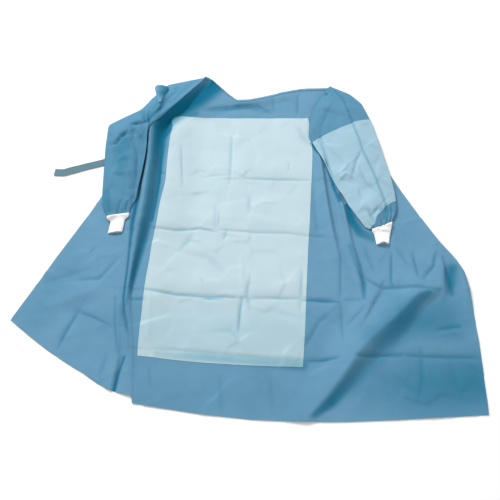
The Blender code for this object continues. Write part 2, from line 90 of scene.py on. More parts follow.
def nonwoven(name, colour, shade, painted_shade, roughness, sheen, bump, mottle=0.5):
    """Bonded fibres: a mottled colour, a grid of bond points and a soft sheen.

    In folds and creases the colour is mixed towards a darker, more saturated one:
    painted shade. The piece's own attribute says how much, from 0 to 1.
    """
    material = bpy.data.materials.new(name)
    material.use_nodes = True
    tree = material.node_tree
    shader = tree.nodes["Principled BSDF"]
    shader.inputs["Roughness"].default_value = roughness
    shader.inputs["Sheen Weight"].default_value = sheen
    shader.inputs["Sheen Roughness"].default_value = SHEEN_ROUGHNESS
    shader.inputs["Specular IOR Level"].default_value = CLOTH_SPECULAR
    place = node_of(tree, "ShaderNodeTexCoord")

    cloud = node_of(tree, "ShaderNodeTexNoise", Scale=CLOUD_SCALE, Detail=4.0,
                    Roughness=0.55)
    fibres = node_of(tree, "ShaderNodeTexNoise", Scale=FIBRE_SCALE, Detail=3.0,
                     Roughness=0.7)
    tree.links.new(place.outputs["Object"], cloud.inputs["Vector"])
    tree.links.new(place.outputs["Object"], fibres.inputs["Vector"])
    both = node_of(tree, "ShaderNodeMath", operation="MULTIPLY_ADD")
    both.inputs[1].default_value = FIBRE_SHARE
    tree.links.new(fibres.outputs["Fac"], both.inputs[0])
    tree.links.new(cloud.outputs["Fac"], both.inputs[2])
    ramp = node_of(tree, "ShaderNodeValToRGB")
    middle = [s + (c - s) * (1.0 - mottle) for c, s in zip(colour, shade)]
    ramp.color_ramp.elements[0].position = MOTTLE_START
    ramp.color_ramp.elements[0].color = (*middle, 1.0)
    ramp.color_ramp.elements[1].position = 1.0
    ramp.color_ramp.elements[1].color = (*colour, 1.0)
    tree.links.new(both.outputs[0], ramp.inputs["Fac"])
    # Painted shade: the colour is mixed towards the shaded one by the piece's attribute
    fold = node_of(tree, "ShaderNodeAttribute", attribute_name="painted_shade")
    shade_mix = node_of(tree, "ShaderNodeMix", data_type="RGBA")
    shade_mix.inputs[7].default_value = (*painted_shade, 1.0)
    tree.links.new(fold.outputs["Fac"], shade_mix.inputs[0])
    tree.links.new(ramp.outputs["Color"], shade_mix.inputs[6])
    tree.links.new(shade_mix.outputs[2], shader.inputs["Base Color"])

    bonds = node_of(tree, "ShaderNodeTexVoronoi", Scale=1.0 / BOND_PITCH,
                    Randomness=0.25)
    tree.links.new(place.outputs["Object"], bonds.inputs["Vector"])
    height = node_of(tree, "ShaderNodeMath", operation="MULTIPLY_ADD")
    height.inputs[1].default_value = BOND_SHARE
    tree.links.new(bonds.outputs["Distance"], height.inputs[0])
    tree.links.new(fibres.outputs["Fac"], height.inputs[2])
    relief_node = node_of(tree, "ShaderNodeBump", Strength=bump, Distance=BOND_DEPTH)
    tree.links.new(height.outputs[0], relief_node.inputs["Height"])
    tree.links.new(relief_node.outputs["Normal"], shader.inputs["Normal"])
    return material


blue_cloth = nonwoven("blue_nonwoven", BLUE, BLUE_DARK, BLUE_SHADED,
                      roughness=0.70, sheen=0.03, bump=0.30)


# The front: one panel of the blue cloth from the neckline to the hem, sewn to the
# back panels at the crest of the long pleat and under the left armpit.
FRONT_SECTIONS = (
    # y, seam, seam_z, trough, trough_z, bib_right, bib_right_z, bib_left, side
    (0.560, -0.147, 0.022, -0.122, 0.016, -0.102, 0.010, 0.225, 0.356),
    (0.548, -0.157, 0.024, -0.130, 0.016, -0.108, 0.009, 0.228, 0.356),
    (0.530, -0.188, 0.030, -0.152, 0.012, -0.120, 0.008, 0.232, 0.352),
    (0.500, -0.240, 0.036, -0.200, 0.011, -0.164, 0.008, 0.245, 0.345),
    (0.470, -0.294, 0.041, -0.268, 0.010, -0.248, 0.012, 0.256, 0.340),
    (0.410, -0.334, 0.042, -0.290, 0.009, -0.263, 0.018, 0.260, 0.328),
    (0.310, -0.335, 0.038, -0.298, 0.009, -0.271, 0.018, 0.265, 0.315),
    (0.230, -0.333, 0.036, -0.298, 0.009, -0.272, 0.018, 0.260, 0.308),
    (0.150, -0.339, 0.035, -0.299, 0.009, -0.273, 0.018, 0.253, 0.308),
    (0.070, -0.341, 0.034, -0.303, 0.008, -0.284, 0.017, 0.246, 0.314),
    (-0.010, -0.349, 0.033, -0.311, 0.008, -0.290, 0.016, 0.239, 0.324),
    (-0.090, -0.355, 0.029, -0.325, 0.007, -0.299, 0.014, 0.231, 0.338),
    (-0.170, -0.357, 0.024, -0.340, 0.006, -0.304, 0.012, 0.224, 0.354),
    (-0.250, -0.360, 0.019, -0.347, 0.005, -0.310, 0.011, 0.217, 0.371),
    (-0.330, -0.358, 0.016, -0.343, 0.008, -0.312, 0.012, 0.210, 0.388),
    (-0.410, -0.344, 0.013, -0.330, 0.009, -0.313, 0.012, 0.202, 0.404),
    (-0.500, -0.328, 0.010, -0.321, 0.007, -0.312, 0.006, 0.192, 0.424),
    (-0.560, -0.324, 0.006, -0.314, 0.004, -0.303, 0.003, 0.186, 0.437),
    (-0.620, -0.318, 0.003, -0.308, 0.002, -0.295, 0.001, 0.182, 0.448),
    (-0.640, -0.316, 0.001, -0.305, 0.001, -0.293, 0.000, 0.180, 0.452),
)
SEAM, SEAM_Z, SIDE = 1, 2, 8
NECKLINE = (
    # x, y
    (-0.400, 0.667), (-0.131, 0.667), (-0.106, 0.650), (-0.055, 0.592),
    (-0.020, 0.560), (0.032, 0.563), (0.079, 0.577), (0.151, 0.602),
    (0.235, 0.626), (0.354, 0.631), (0.500, 0.631),
)
HEM = (
    # x, y
    (-0.400, -0.634), (-0.310, -0.642), (-0.215, -0.658), (-0.115, -0.673),
    (0.032, -0.689), (0.177, -0.696), (0.307, -0.696), (0.468, -0.690),
    (0.728, -0.676),
)
NECK_LEVEL = 0.560
BINDING_LEVEL = 0.548
BIB_TOP = 0.470
BIB_BOTTOM = -0.500
HEM_LEVEL = -0.640
HEM_CURVE_START = -0.250
BIB_SLOPE = 0.140
# From these places to the frame's origin, the middle of the gown's box
TO_MIDDLE = (-0.009, 0.01125)

# Crest lines of the folds, each as points of (x, y, height, left, right), where
# left and right are the widths of the two slopes as seen along the line
FOLDS = {
    "hem_diagonal": (
        (0.690, -0.230, 0.002, 0.030, 0.060), (0.655, -0.262, 0.008, 0.032, 0.060),
        (0.572, -0.292, 0.022, 0.048, 0.110), (0.501, -0.364, 0.026, 0.060, 0.120),
        (0.430, -0.423, 0.026, 0.062, 0.120), (0.370, -0.480, 0.024, 0.055, 0.110),
        (0.301, -0.572, 0.018, 0.038, 0.100), (0.212, -0.672, 0.008, 0.030, 0.080),
        (0.185, -0.700, 0.004, 0.030, 0.080),
    ),
    "second_diagonal": (
        (0.450, -0.270, 0.006, 0.030, 0.070), (0.425, -0.309, 0.013, 0.030, 0.070),
        (0.367, -0.429, 0.014, 0.028, 0.070), (0.304, -0.538, 0.008, 0.026, 0.060),
        (0.280, -0.590, 0.002, 0.026, 0.060),
    ),
    "armpit": (
        (0.286, 0.290, 0.006, 0.018, 0.030), (0.293, 0.240, 0.013, 0.016, 0.034),
        (0.299, 0.119, 0.015, 0.016, 0.040), (0.312, -0.042, 0.014, 0.018, 0.050),
        (0.326, -0.150, 0.009, 0.020, 0.050), (0.348, -0.210, 0.002, 0.020, 0.040),
    ),
    "under_sleeve": (
        (0.345, 0.110, 0.010, 0.012, 0.014), (0.357, 0.050, 0.018, 0.014, 0.020),
        (0.364, -0.015, 0.017, 0.016, 0.026), (0.373, -0.095, 0.012, 0.018, 0.030),
        (0.390, -0.180, 0.009, 0.016, 0.030), (0.398, -0.240, 0.003, 0.016, 0.030),
    ),
    "neck_lip": (
        (-0.085, 0.596, 0.004, 0.045, 0.040), (-0.020, 0.542, 0.009, 0.045, 0.040),
        (0.079, 0.557, 0.008, 0.045, 0.040), (0.200, 0.596, 0.003, 0.045, 0.040),
    ),
    "back_edge_roll": (
        (0.640, -0.035, 0.002, 0.040, 0.030), (0.700, -0.130, 0.008, 0.034, 0.028),
        (0.728, -0.200, 0.014, 0.028, 0.028), (0.735, -0.270, 0.011, 0.030, 0.028),
        (0.740, -0.350, 0.002, 0.040, 0.028),
    ),
    "beside_the_roll": (
        (0.650, -0.110, 0.002, 0.030, 0.060), (0.672, -0.185, 0.011, 0.016, 0.070),
        (0.664, -0.250, 0.010, 0.018, 0.060), (0.655, -0.300, 0.002, 0.020, 0.050),
    ),
    "right_back_bulge": (
        (-0.650, -0.345, 0.001, 0.060, 0.050), (-0.560, -0.310, 0.006, 0.080, 0.050),
        (-0.480, -0.275, 0.005, 0.070, 0.050), (-0.420, -0.195, 0.001, 0.050, 0.040),
    ),
    "beside_the_groove": (
        (-0.390, -0.620, 0.002, 0.030, 0.014), (-0.378, -0.560, 0.008, 0.030, 0.012),
        (-0.372, -0.500, 0.007, 0.030, 0.010), (-0.385, -0.400, 0.004, 0.030, 0.012),
        (-0.392, -0.300, 0.003, 0.030, 0.012),
    ),
}

# The creases of the packing, each a line on the gown: its points, the depth and
# width of the line, and how high the cloth pillows on its left and on its right.
# A negative depth is a raised crease.
CREASES = (
    # across the front
    (((-0.150, 0.187), (-0.046, 0.195)), 0.0012, 0.005, 0.0008, 0.0012),
    (((0.013, 0.177), (0.130, 0.174), (0.250, 0.171)), 0.0030, 0.005, 0.0030, -0.0010),
    (((-0.311, -0.040), (-0.223, -0.047), (-0.141, -0.037), (-0.085, -0.051)),
     0.0032, 0.005, 0.0028, -0.0008),
    (((-0.077, -0.042), (0.061, -0.051), (0.164, -0.054), (0.240, -0.066)),
     0.0026, 0.005, 0.0022, -0.0006),
    (((0.240, -0.066), (0.290, -0.068)), 0.0020, 0.005, 0.0010, 0.0000),
    (((-0.306, -0.275), (-0.265, -0.281), (-0.196, -0.290), (-0.115, -0.294), (-0.015, -0.299)),
     0.0044, 0.005, 0.0034, -0.0016),
    (((-0.139, -0.294), (-0.107, -0.299), (-0.059, -0.304)), 0.0030, 0.007, 0.0000, 0.0000),
    (((0.026, -0.298), (0.118, -0.302), (0.206, -0.302)), 0.0026, 0.005, 0.0028, -0.0010),
    (((0.200, -0.306), (0.260, -0.311), (0.318, -0.315)), 0.0050, 0.006, 0.0016, 0.0000),
    (((-0.262, -0.475), (-0.146, -0.481), (0.026, -0.499), (0.197, -0.511)),
     0.0022, 0.006, 0.0022, -0.0014),
    (((0.190, -0.512), (0.260, -0.511), (0.300, -0.505)), 0.0044, 0.006, 0.0012, 0.0000),
    (((0.355, -0.500), (0.497, -0.492)), 0.0050, 0.006, 0.0000, 0.0010),
    (((0.497, -0.494), (0.586, -0.499), (0.735, -0.502)), 0.0036, 0.006, 0.0022, -0.0008),
    # down the front
    (((-0.225, 0.317), (-0.216, 0.204), (-0.210, 0.132)), 0.0026, 0.004, 0.0000, 0.0016),
    (((-0.038, 0.380), (-0.040, 0.232), (-0.043, 0.159)), 0.0022, 0.006, 0.0022, -0.0004),
    (((-0.091, 0.063), (-0.089, -0.033)), 0.0016, 0.004, 0.0014, 0.0000),
    (((-0.078, 0.034), (-0.078, -0.033)), 0.0020, 0.004, 0.0000, 0.0012),
    (((0.174, 0.248), (0.175, 0.211)), 0.0018, 0.004, 0.0000, 0.0000),
    (((0.028, 0.098), (0.028, 0.029)), 0.0016, 0.008, 0.0016, 0.0000),
    (((-0.047, -0.047), (-0.058, -0.082)), 0.0022, 0.005, 0.0006, 0.0010),
    (((0.002, -0.150), (0.009, -0.289)), -0.0022, 0.007, 0.0010, 0.0000),
    (((0.032, -0.225), (0.021, -0.289), (0.032, -0.342)), 0.0024, 0.006, 0.0000, 0.0014),
    (((0.006, -0.300), (-0.001, -0.344), (-0.005, -0.418)), 0.0046, 0.005, 0.0024, 0.0010),
    (((0.203, -0.202), (0.196, -0.302)), 0.0026, 0.005, 0.0008, 0.0012),
    (((0.194, -0.302), (0.190, -0.345)), 0.0016, 0.006, 0.0000, 0.0010),
    (((-0.167, -0.062), (-0.206, -0.121)), 0.0020, 0.012, 0.0020, -0.0010),
    (((-0.048, -0.042), (-0.060, -0.077)), 0.0014, 0.004, 0.0000, 0.0000),
    (((-0.292, -0.308), (-0.284, -0.435), (-0.265, -0.480), (-0.262, -0.510)),
     -0.0024, 0.008, 0.0000, 0.0000),
    (((-0.087, -0.418), (-0.033, -0.414), (-0.005, -0.443), (-0.009, -0.475)),
     0.0012, 0.009, 0.0014, 0.0000),
    (((-0.180, -0.130), (-0.110, -0.150), (-0.060, -0.200)), 0.0010, 0.012, 0.0012, -0.0006),
    (((-0.130, -0.230), (-0.120, -0.250)), 0.0018, 0.004, 0.0000, 0.0000),
    (((0.090, -0.340), (0.200, -0.372)), 0.0010, 0.010, -0.0010, 0.0014),
    # between the bib and the neckline
    (((-0.150, 0.508), (-0.083, 0.520), (0.061, 0.530), (0.110, 0.500)),
     0.0036, 0.009, 0.0010, 0.0000),
    (((0.221, 0.584), (0.217, 0.493)), 0.0022, 0.007, 0.0014, 0.0000),
    (((0.120, 0.575), (0.128, 0.500)), 0.0012, 0.009, 0.0012, 0.0000),
    (((-0.169, 0.604), (-0.211, 0.528), (-0.251, 0.466), (-0.283, 0.444), (-0.324, 0.433)),
     0.0044, 0.006, 0.0000, 0.0024),
    (((-0.314, 0.398), (-0.295, 0.426), (-0.267, 0.437)), 0.0034, 0.008, 0.0000, 0.0000),
    (((-0.298, 0.200), (-0.277, 0.185)), 0.0030, 0.004, 0.0000, 0.0000),
    (((-0.292, 0.370), (-0.297, 0.230), (-0.298, 0.150), (-0.310, -0.010)),
     0.0030, 0.006, 0.0000, 0.0000),
    # beside the left sleeve, and the left side of the front
    (((0.214, 0.430), (0.238, 0.360), (0.263, 0.337)), 0.0014, 0.014, 0.0000, 0.0010),
    (((0.335, -0.148), (0.323, -0.310)), 0.0024, 0.005, 0.0020, 0.0000),
    (((0.323, -0.310), (0.319, -0.450)), 0.0022, 0.005, 0.0010, 0.0014),
    (((0.388, -0.187), (0.404, -0.247), (0.399, -0.305)), 0.0050, 0.007, 0.0000, 0.0000),
    (((0.202, -0.465), (0.247, -0.387), (0.282, -0.356)), 0.0024, 0.008, 0.0016, -0.0008),
    (((0.335, -0.397), (0.396, -0.336)), 0.0020, 0.007, 0.0010, 0.0000),
    (((0.332, -0.309), (0.398, -0.309)), 0.0014, 0.006, -0.0010, 0.0014),
    (((0.255, 0.150), (0.262, -0.060)), 0.0010, 0.010, 0.0012, 0.0000),
    # the left back panel
    (((0.509, -0.136), (0.493, -0.247), (0.502, -0.274)), 0.0034, 0.005, 0.0020, -0.0008),
    (((0.578, -0.136), (0.585, -0.225)), 0.0030, 0.006, 0.0018, 0.0000),
    (((0.530, -0.120), (0.556, -0.180)), 0.0014, 0.008, 0.0000, 0.0014),
    (((0.658, -0.131), (0.640, -0.187), (0.599, -0.231)), 0.0034, 0.007, 0.0000, 0.0020),
    (((0.406, -0.226), (0.459, -0.266), (0.574, -0.267), (0.649, -0.274)),
     0.0034, 0.007, 0.0022, 0.0000),
    (((0.619, -0.411), (0.694, -0.399)), 0.0030, 0.007, 0.0000, 0.0000),
    (((0.625, -0.425), (0.700, -0.415)), -0.0020, 0.008, 0.0000, 0.0000),
    (((0.559, -0.474), (0.550, -0.567), (0.526, -0.642)), 0.0018, 0.010, 0.0018, 0.0000),
    (((0.470, -0.560), (0.560, -0.640)), 0.0010, 0.012, 0.0012, 0.0000),
    (((0.640, -0.520), (0.660, -0.640)), 0.0010, 0.010, 0.0010, 0.0010),
    (((0.682, -0.195), (0.690, -0.290)), 0.0040, 0.010, 0.0000, 0.0000),
    (((0.420, -0.110), (0.440, -0.200)), 0.0014, 0.009, 0.0012, 0.0000),
    # the right back panel and the pleat
    (((-0.561, -0.468), (-0.545, -0.417), (-0.517, -0.349)), 0.0038, 0.006, 0.0020, 0.0000),
    (((-0.517, -0.349), (-0.460, -0.370), (-0.404, -0.397)), 0.0026, 0.006, 0.0018, 0.0010),
    (((-0.529, -0.234), (-0.464, -0.231), (-0.416, -0.159)), 0.0022, 0.007, 0.0014, 0.0010),
    (((-0.512, -0.136), (-0.494, -0.112)), 0.0016, 0.005, 0.0000, 0.0000),
    (((-0.640, -0.245), (-0.560, -0.215), (-0.500, -0.190)), 0.0010, 0.009, 0.0014, 0.0000),
    (((-0.403, -0.295), (-0.395, -0.391), (-0.374, -0.493)), 0.0026, 0.006, 0.0000, 0.0000),
    (((-0.354, -0.500), (-0.366, -0.555), (-0.374, -0.606)), 0.0056, 0.005, 0.0000, 0.0000),
    (((-0.355, -0.308), (-0.308, -0.312)), 0.0024, 0.005, 0.0008, 0.0000),
    (((-0.372, -0.348), (-0.360, -0.400), (-0.352, -0.420)), 0.0030, 0.006, 0.0000, 0.0000),
    (((-0.272, -0.531), (-0.266, -0.597)), 0.0012, 0.006, 0.0000, 0.0010),
    (((-0.420, -0.560), (-0.410, -0.500)), 0.0014, 0.008, 0.0010, 0.0000),
    (((-0.060, -0.560), (-0.050, -0.670)), 0.0010, 0.010, 0.0010, 0.0000),
    (((0.090, -0.560), (0.100, -0.680)), 0.0010, 0.010, 0.0000, 0.0012),
)
PILLOW_REACH = 0.045
CREASE_END = 0.06
# A crease's depth wanders by this share, in waves across the gown that start
# elsewhere for each crease
CREASE_WANDER = 0.15
WANDER_WAVES = 37.0
WANDER_SHIFT = 90.0

# Painted shade where the cloth lies low in a fold, trough or gap, as lines of (x, y, width,
# strength)
SHADED_FOLDS = (
    ((-0.106, 0.655, 0.024, 0.90), (-0.118, 0.620, 0.040, 1.00), (-0.182, 0.552, 0.040, 1.00),
     (-0.248, 0.490, 0.036, 1.00), (-0.298, 0.425, 0.034, 1.00), (-0.308, 0.360, 0.026, 1.00),
     (-0.314, 0.200, 0.022, 0.68), (-0.318, 0.050, 0.020, 0.72), (-0.334, -0.100, 0.015, 0.80),
     (-0.350, -0.220, 0.010, 0.80), (-0.358, -0.280, 0.007, 0.60), (-0.364, -0.330, 0.005, 0.30)),
    ((-0.314, 0.395, 0.022, 1.00), (-0.285, 0.415, 0.022, 1.00), (-0.260, 0.442, 0.018, 0.90)),
    ((-0.305, 0.350, 0.018, 1.00), (-0.292, 0.375, 0.018, 1.00), (-0.276, 0.400, 0.014, 1.00)),
    ((-0.295, 0.340, 0.007, 1.00), (-0.296, 0.150, 0.006, 1.00), (-0.309, -0.010, 0.006, 0.90)),
    ((-0.245, 0.487, 0.020, 0.90), (-0.185, 0.488, 0.018, 0.60)),
    ((-0.130, 0.510, 0.010, 0.30), (-0.060, 0.521, 0.011, 0.60), (0.030, 0.528, 0.011, 0.50),
     (0.090, 0.507, 0.009, 0.20)),
    ((-0.354, -0.500, 0.004, 0.80), (-0.367, -0.555, 0.005, 1.00), (-0.374, -0.606, 0.006, 1.00)),
    ((-0.360, 0.130, 0.004, 0.80), (-0.372, 0.060, 0.007, 1.00), (-0.378, 0.000, 0.008, 0.90),
     (-0.377, -0.120, 0.004, 0.70), (-0.376, -0.210, 0.004, 0.80), (-0.377, -0.300, 0.004, 0.90),
     (-0.370, -0.360, 0.005, 0.60), (-0.356, -0.405, 0.006, 0.40)),
    ((0.309, 0.262, 0.005, 0.80), (0.335, 0.134, 0.006, 0.90), (0.350, 0.075, 0.007, 0.80)),
    ((0.262, 0.345, 0.005, 0.90), (0.285, 0.300, 0.007, 0.90), (0.309, 0.262, 0.006, 0.80)),
    ((0.375, 0.060, 0.010, 1.00), (0.387, -0.005, 0.016, 0.95), (0.410, -0.050, 0.018, 0.80),
     (0.450, -0.075, 0.014, 0.50)),
    ((0.372, -0.110, 0.010, 0.30), (0.392, -0.190, 0.009, 0.45), (0.404, -0.247, 0.009, 0.60),
     (0.400, -0.305, 0.007, 0.30)),
    ((0.609, -0.286, 0.010, 0.50), (0.557, -0.322, 0.018, 0.45), (0.500, -0.402, 0.026, 0.36),
     (0.436, -0.482, 0.028, 0.36), (0.367, -0.541, 0.026, 0.45), (0.319, -0.588, 0.020, 0.60),
     (0.271, -0.639, 0.016, 0.85), (0.218, -0.677, 0.008, 0.60)),
    ((0.622, -0.409, 0.005, 0.30), (0.690, -0.400, 0.006, 0.50)),
    ((-0.140, -0.298, 0.004, 0.20), (-0.100, -0.302, 0.006, 0.55), (-0.065, -0.304, 0.004, 0.30)),
    ((0.200, -0.308, 0.005, 0.30), (0.260, -0.312, 0.005, 0.60), (0.318, -0.316, 0.004, 0.50)),
    ((0.360, -0.502, 0.005, 0.50), (0.497, -0.495, 0.005, 0.40)),
    ((-0.250, -0.492, 0.012, 0.24), (-0.100, -0.500, 0.014, 0.52), (0.190, -0.524, 0.017, 0.62)),
)
# Painted shade that darkens the cloth over wide areas, as lines of (x, y, width, strength)
SHADED_AREAS = (
    ((0.400, -0.600, 0.070, 0.35), (0.560, -0.590, 0.090, 0.65), (0.700, -0.580, 0.090, 0.72)),
    ((0.430, -0.440, 0.040, 0.50), (0.530, -0.380, 0.055, 0.62), (0.640, -0.380, 0.075, 0.58)),
    ((-0.280, -0.400, 0.090, 0.22), (0.150, -0.430, 0.090, 0.24)),
    ((-0.280, -0.620, 0.060, 0.14), (0.250, -0.620, 0.060, 0.14)),
    ((-0.640, -0.330, 0.050, 0.20), (-0.560, -0.180, 0.050, 0.12)),
    ((0.700, -0.195, 0.017, 0.80), (0.686, -0.240, 0.020, 0.80), (0.680, -0.285, 0.012, 0.50)),
)
# A crease of this depth has its full painted shade, over this share of its width
CREASE_FULL = 0.0062
CREASE_TINT_WIDTH = 0.8
TINT_FALL = 0.7
# How flat the top of a painted shade is: a fold's ends sharply, a wide shaded area's softly
SHARP_TINT = 4
SOFT_TINT = 2
# The share of a fold's height that falls straight from its crest
CREST_SHARE = 0.55
# How far a crease or a facet can sink, where the cloth is flat and where it is
# raised, and what stays between it and the table
SINK_FLAT = 0.0016
SINK_RAISED = 0.0022
RAISED = 0.0060
CLEARANCE = 0.0006
SURFACE = 0.0010


def ease(t):
    """A smooth step from 0 to 1."""
    return 0.5 - 0.5 * np.cos(np.pi * np.clip(t, 0.0, 1.0))


def column(table, index, levels):
    """A section table's column, as a smooth curve through its rows."""
    rows = np.array(table)[::-1]
    at, values = rows[:, 0], rows[:, index]
    slopes = np.gradient(values, at)
    place = np.clip(np.searchsorted(at, levels) - 1, 0, len(at) - 2)
    step = at[place + 1] - at[place]
    t = np.clip((levels - at[place]) / step, 0.0, 1.0)
    first, second = values[place], values[place + 1]
    bend_in = slopes[place] * step
    bend_out = slopes[place + 1] * step
    return ((2 * t ** 3 - 3 * t ** 2 + 1) * first + (t ** 3 - 2 * t ** 2 + t) * bend_in
            + (3 * t ** 2 - 2 * t ** 3) * second + (t ** 3 - t ** 2) * bend_out)


def front_y(x, level):
    """Where a level lies at x, between the neckline's curve and the hem's."""
    neck = np.array(NECKLINE)
    hem = np.array(HEM)
    neck_share = np.clip((level - BIB_TOP) / (BINDING_LEVEL - BIB_TOP), 0.0, 1.0)
    hem_share = (HEM_CURVE_START - level) / (HEM_CURVE_START - HEM_LEVEL)
    rise = np.interp(x, neck[:, 0], neck[:, 1]) - NECK_LEVEL
    drop = np.interp(x, hem[:, 0], hem[:, 1]) - HEM_LEVEL
    return level + rise * neck_share + drop * np.clip(hem_share, 0.0, 1.0)


def nearest_on(x, y, start, end):
    """Each point's distance from a line, its share along it and its side."""
    run = np.array(end) - np.array(start)
    length = math.hypot(*run)
    dx, dy = x - start[0], y - start[1]
    share = np.clip((dx * run[0] + dy * run[1]) / length ** 2, 0.0, 1.0)
    away_x, away_y = dx - run[0] * share, dy - run[1] * share
    side = run[0] * away_y - run[1] * away_x
    return np.hypot(away_x, away_y), share, side


def lengths_along(points):
    """How far along a line of points each of them lies."""
    return np.concatenate([[0.0], np.cumsum(np.linalg.norm(np.diff(points, axis=0), axis=1))])


def nearest_along(x, y, points):
    """Each point's distance from a line of several points, its share and side."""
    ends = np.array(points)[:, :2]
    runs = np.linalg.norm(np.diff(ends, axis=0), axis=1)
    passed = lengths_along(ends) / runs.sum()
    best = np.full(x.shape, 9.0)
    along = np.zeros_like(x)
    beside = np.zeros_like(x)
    for index, (start, end) in enumerate(zip(ends, ends[1:])):
        away, share, side = nearest_on(x, y, start, end)
        closer = away < best
        best = np.where(closer, away, best)
        along = np.where(closer, passed[index] + share * runs[index] / runs.sum(), along)
        beside = np.where(closer, side, beside)
    return best, along, beside


def fold_relief(x, y):
    """The height of the nearest fold: a fine crest with a soft foot."""
    height = np.zeros_like(x)
    for fold in FOLDS.values():
        for first, second in zip(fold, fold[1:]):
            away, share, side = nearest_on(x, y, first[:2], second[:2])
            left = first[3] + (second[3] - first[3]) * share
            right = first[4] + (second[4] - first[4]) * share
            t = np.clip(away / np.where(side < 0.0, right, left), 0.0, 1.0)
            crest = first[2] + (second[2] - first[2]) * share
            fall = CREST_SHARE * (1.0 - t) ** 2 * (1.0 + 0.5 * t)
            fall = fall + (1.0 - CREST_SHARE) * (1.0 - ease(t))
            height = np.maximum(height, crest * fall)
    return height


def fading_ends(share):
    """A crease's strength along its length, fading at both ends."""
    return np.sin(np.pi * (CREASE_END + (1.0 - 2.0 * CREASE_END) * share)) ** 0.5


def line_relief(creases, x, y, reach):
    """Thin troughs along the creases, with pillowed cloth on both sides."""
    height = np.zeros_like(x)
    for points, depth, width, left, right in creases:
        away, share, side = nearest_along(x, y, points)
        ends = fading_ends(share)
        waves = np.sin(WANDER_WAVES * (x + y) + WANDER_SHIFT * points[0][0])
        wander = 1.0 - CREASE_WANDER + CREASE_WANDER * waves
        height -= depth * ends * wander * np.exp(-(away / width) ** 2)
        pillow = np.where(side > 0.0, left, right)
        beside = (away / reach) * np.exp(0.5 - 0.5 * (away / reach) ** 2)
        height += pillow * ends * beside
    return height


def shade_along(lines, x, y, sharpness):
    """Painted shade from 0 to 1 along lines, with a flatter top for more sharpness."""
    tint = np.zeros_like(x)
    for line in lines:
        for first, second in zip(line, line[1:]):
            away, share, side = nearest_on(x, y, first[:2], second[:2])
            width = first[2] + (second[2] - first[2]) * share
            strength = first[3] + (second[3] - first[3]) * share
            fall = np.exp(-(away / width) ** sharpness * TINT_FALL)
            tint = np.maximum(tint, strength * fall)
    return tint


def crease_shade(creases, x, y):
    """Painted shade down in each crease, by the crease's depth."""
    tint = np.zeros_like(x)
    for points, depth, width, left, right in creases:
        away, share, side = nearest_along(x, y, points)
        ends = fading_ends(share)
        strength = np.clip(depth / CREASE_FULL, 0.0, 1.0)
        fall = np.exp(-(away / (CREASE_TINT_WIDTH * width)) ** 2)
        tint = np.maximum(tint, strength * ends * fall)
    return tint


def painted_shade_at(x, y):
    """How much painted shade the cloth takes, from 0 to 1: in folds, in creases and over wide
    areas.
    """
    folds = np.maximum(shade_along(SHADED_FOLDS, x, y, SHARP_TINT),
                       crease_shade(CREASES, x, y))
    layers = shade_along(SHADED_AREAS, x, y, SOFT_TINT)
    return np.clip(folds + layers * (1.0 - folds), 0.0, 1.0)


# Half the width and length of the area that the gown's parts lie in, with a margin
AREA_X = 0.76
AREA_Y = 0.72
# The facets of the crumpled cloth: how many, how steep and how high they are, and
# how sharply one ends at the next
FACETS = 620
FACET_SLOPE = 0.020
FACET_LIFT = 0.0006
FACET_EDGE = 2600.0
FACET_SEED = 11
facet_draw = np.random.default_rng(FACET_SEED)
facet_centres = facet_draw.uniform((-AREA_X, -AREA_Y), (AREA_X, AREA_Y), (FACETS, 2))
facet_slopes = facet_draw.normal(0.0, FACET_SLOPE, (FACETS, 2))
facet_lifts = facet_draw.uniform(0.0, FACET_LIFT, FACETS)


def facet_relief(x, y):
    """The small flat facets of crumpled cloth, blended at their edges."""
    total = np.zeros_like(x)
    weights = np.full(x.shape, 1e-12)
    for (cx, cy), (sx, sy), lift in zip(facet_centres, facet_slopes, facet_lifts):
        dx, dy = x - cx, y - cy
        near = np.exp(-FACET_EDGE * (dx * dx + dy * dy))
        weights += near
        total += near * (lift + sx * dx + sy * dy)
    return total / weights


def cloth_height(x, y, base):
    """The cloth's upper side: the pleats' profile, the folds and the creases."""
    lifted = np.maximum(base, fold_relief(x, y))
    fine = line_relief(CREASES, x, y, PILLOW_REACH) + facet_relief(x, y)
    sink = SINK_FLAT + SINK_RAISED * ease(lifted / RAISED)
    fine = np.maximum(fine, -sink + CLEARANCE)
    return CLOTH_ON_TABLE + SURFACE + lifted + fine


# The front's columns, from the seam to the trough, to the reinforcement, across
# it, and on to the side
FRONT_COLUMNS = (8, 8, 112, 36)


def spread_columns(knots, counts):
    """Rows of x values that pass through the given edges."""
    parts = []
    for index, count in enumerate(counts):
        share = np.linspace(0.0, 1.0, count, endpoint=False)
        left, right = knots[index][:, None], knots[index + 1][:, None]
        parts.append(left + (right - left) * share)
    parts.append(knots[-1][:, None])
    return np.concatenate(parts, axis=1)


def front_points(levels):
    """The front's points at these levels, as arrays of x, y and z."""
    seam, seam_z, trough, trough_z, bib, bib_z, bib_left, side = (
        column(FRONT_SECTIONS, index, levels)[:, None] for index in range(SEAM, SIDE + 1))
    x = spread_columns([edge[:, 0] for edge in (seam, trough, bib, bib_left, side)],
                       FRONT_COLUMNS)
    base = np.where(x < trough, seam_z + (trough_z - seam_z)
                    * ease((x - seam) / (trough - seam)), 0.0)
    middle = (x >= trough) & (x < bib)
    base = np.where(middle, trough_z + (bib_z - trough_z)
                    * ease((x - trough) / (bib - trough)), base)
    fall = bib_z * (1.0 - ease((x - bib) / BIB_SLOPE))
    base = np.where(x >= bib, fall, base)
    y = front_y(x, levels[:, None])
    return x, y, cloth_height(x, y, base)


# Edges are shaded smooth up to this angle, in degrees
SHEET_SMOOTH = 70.0


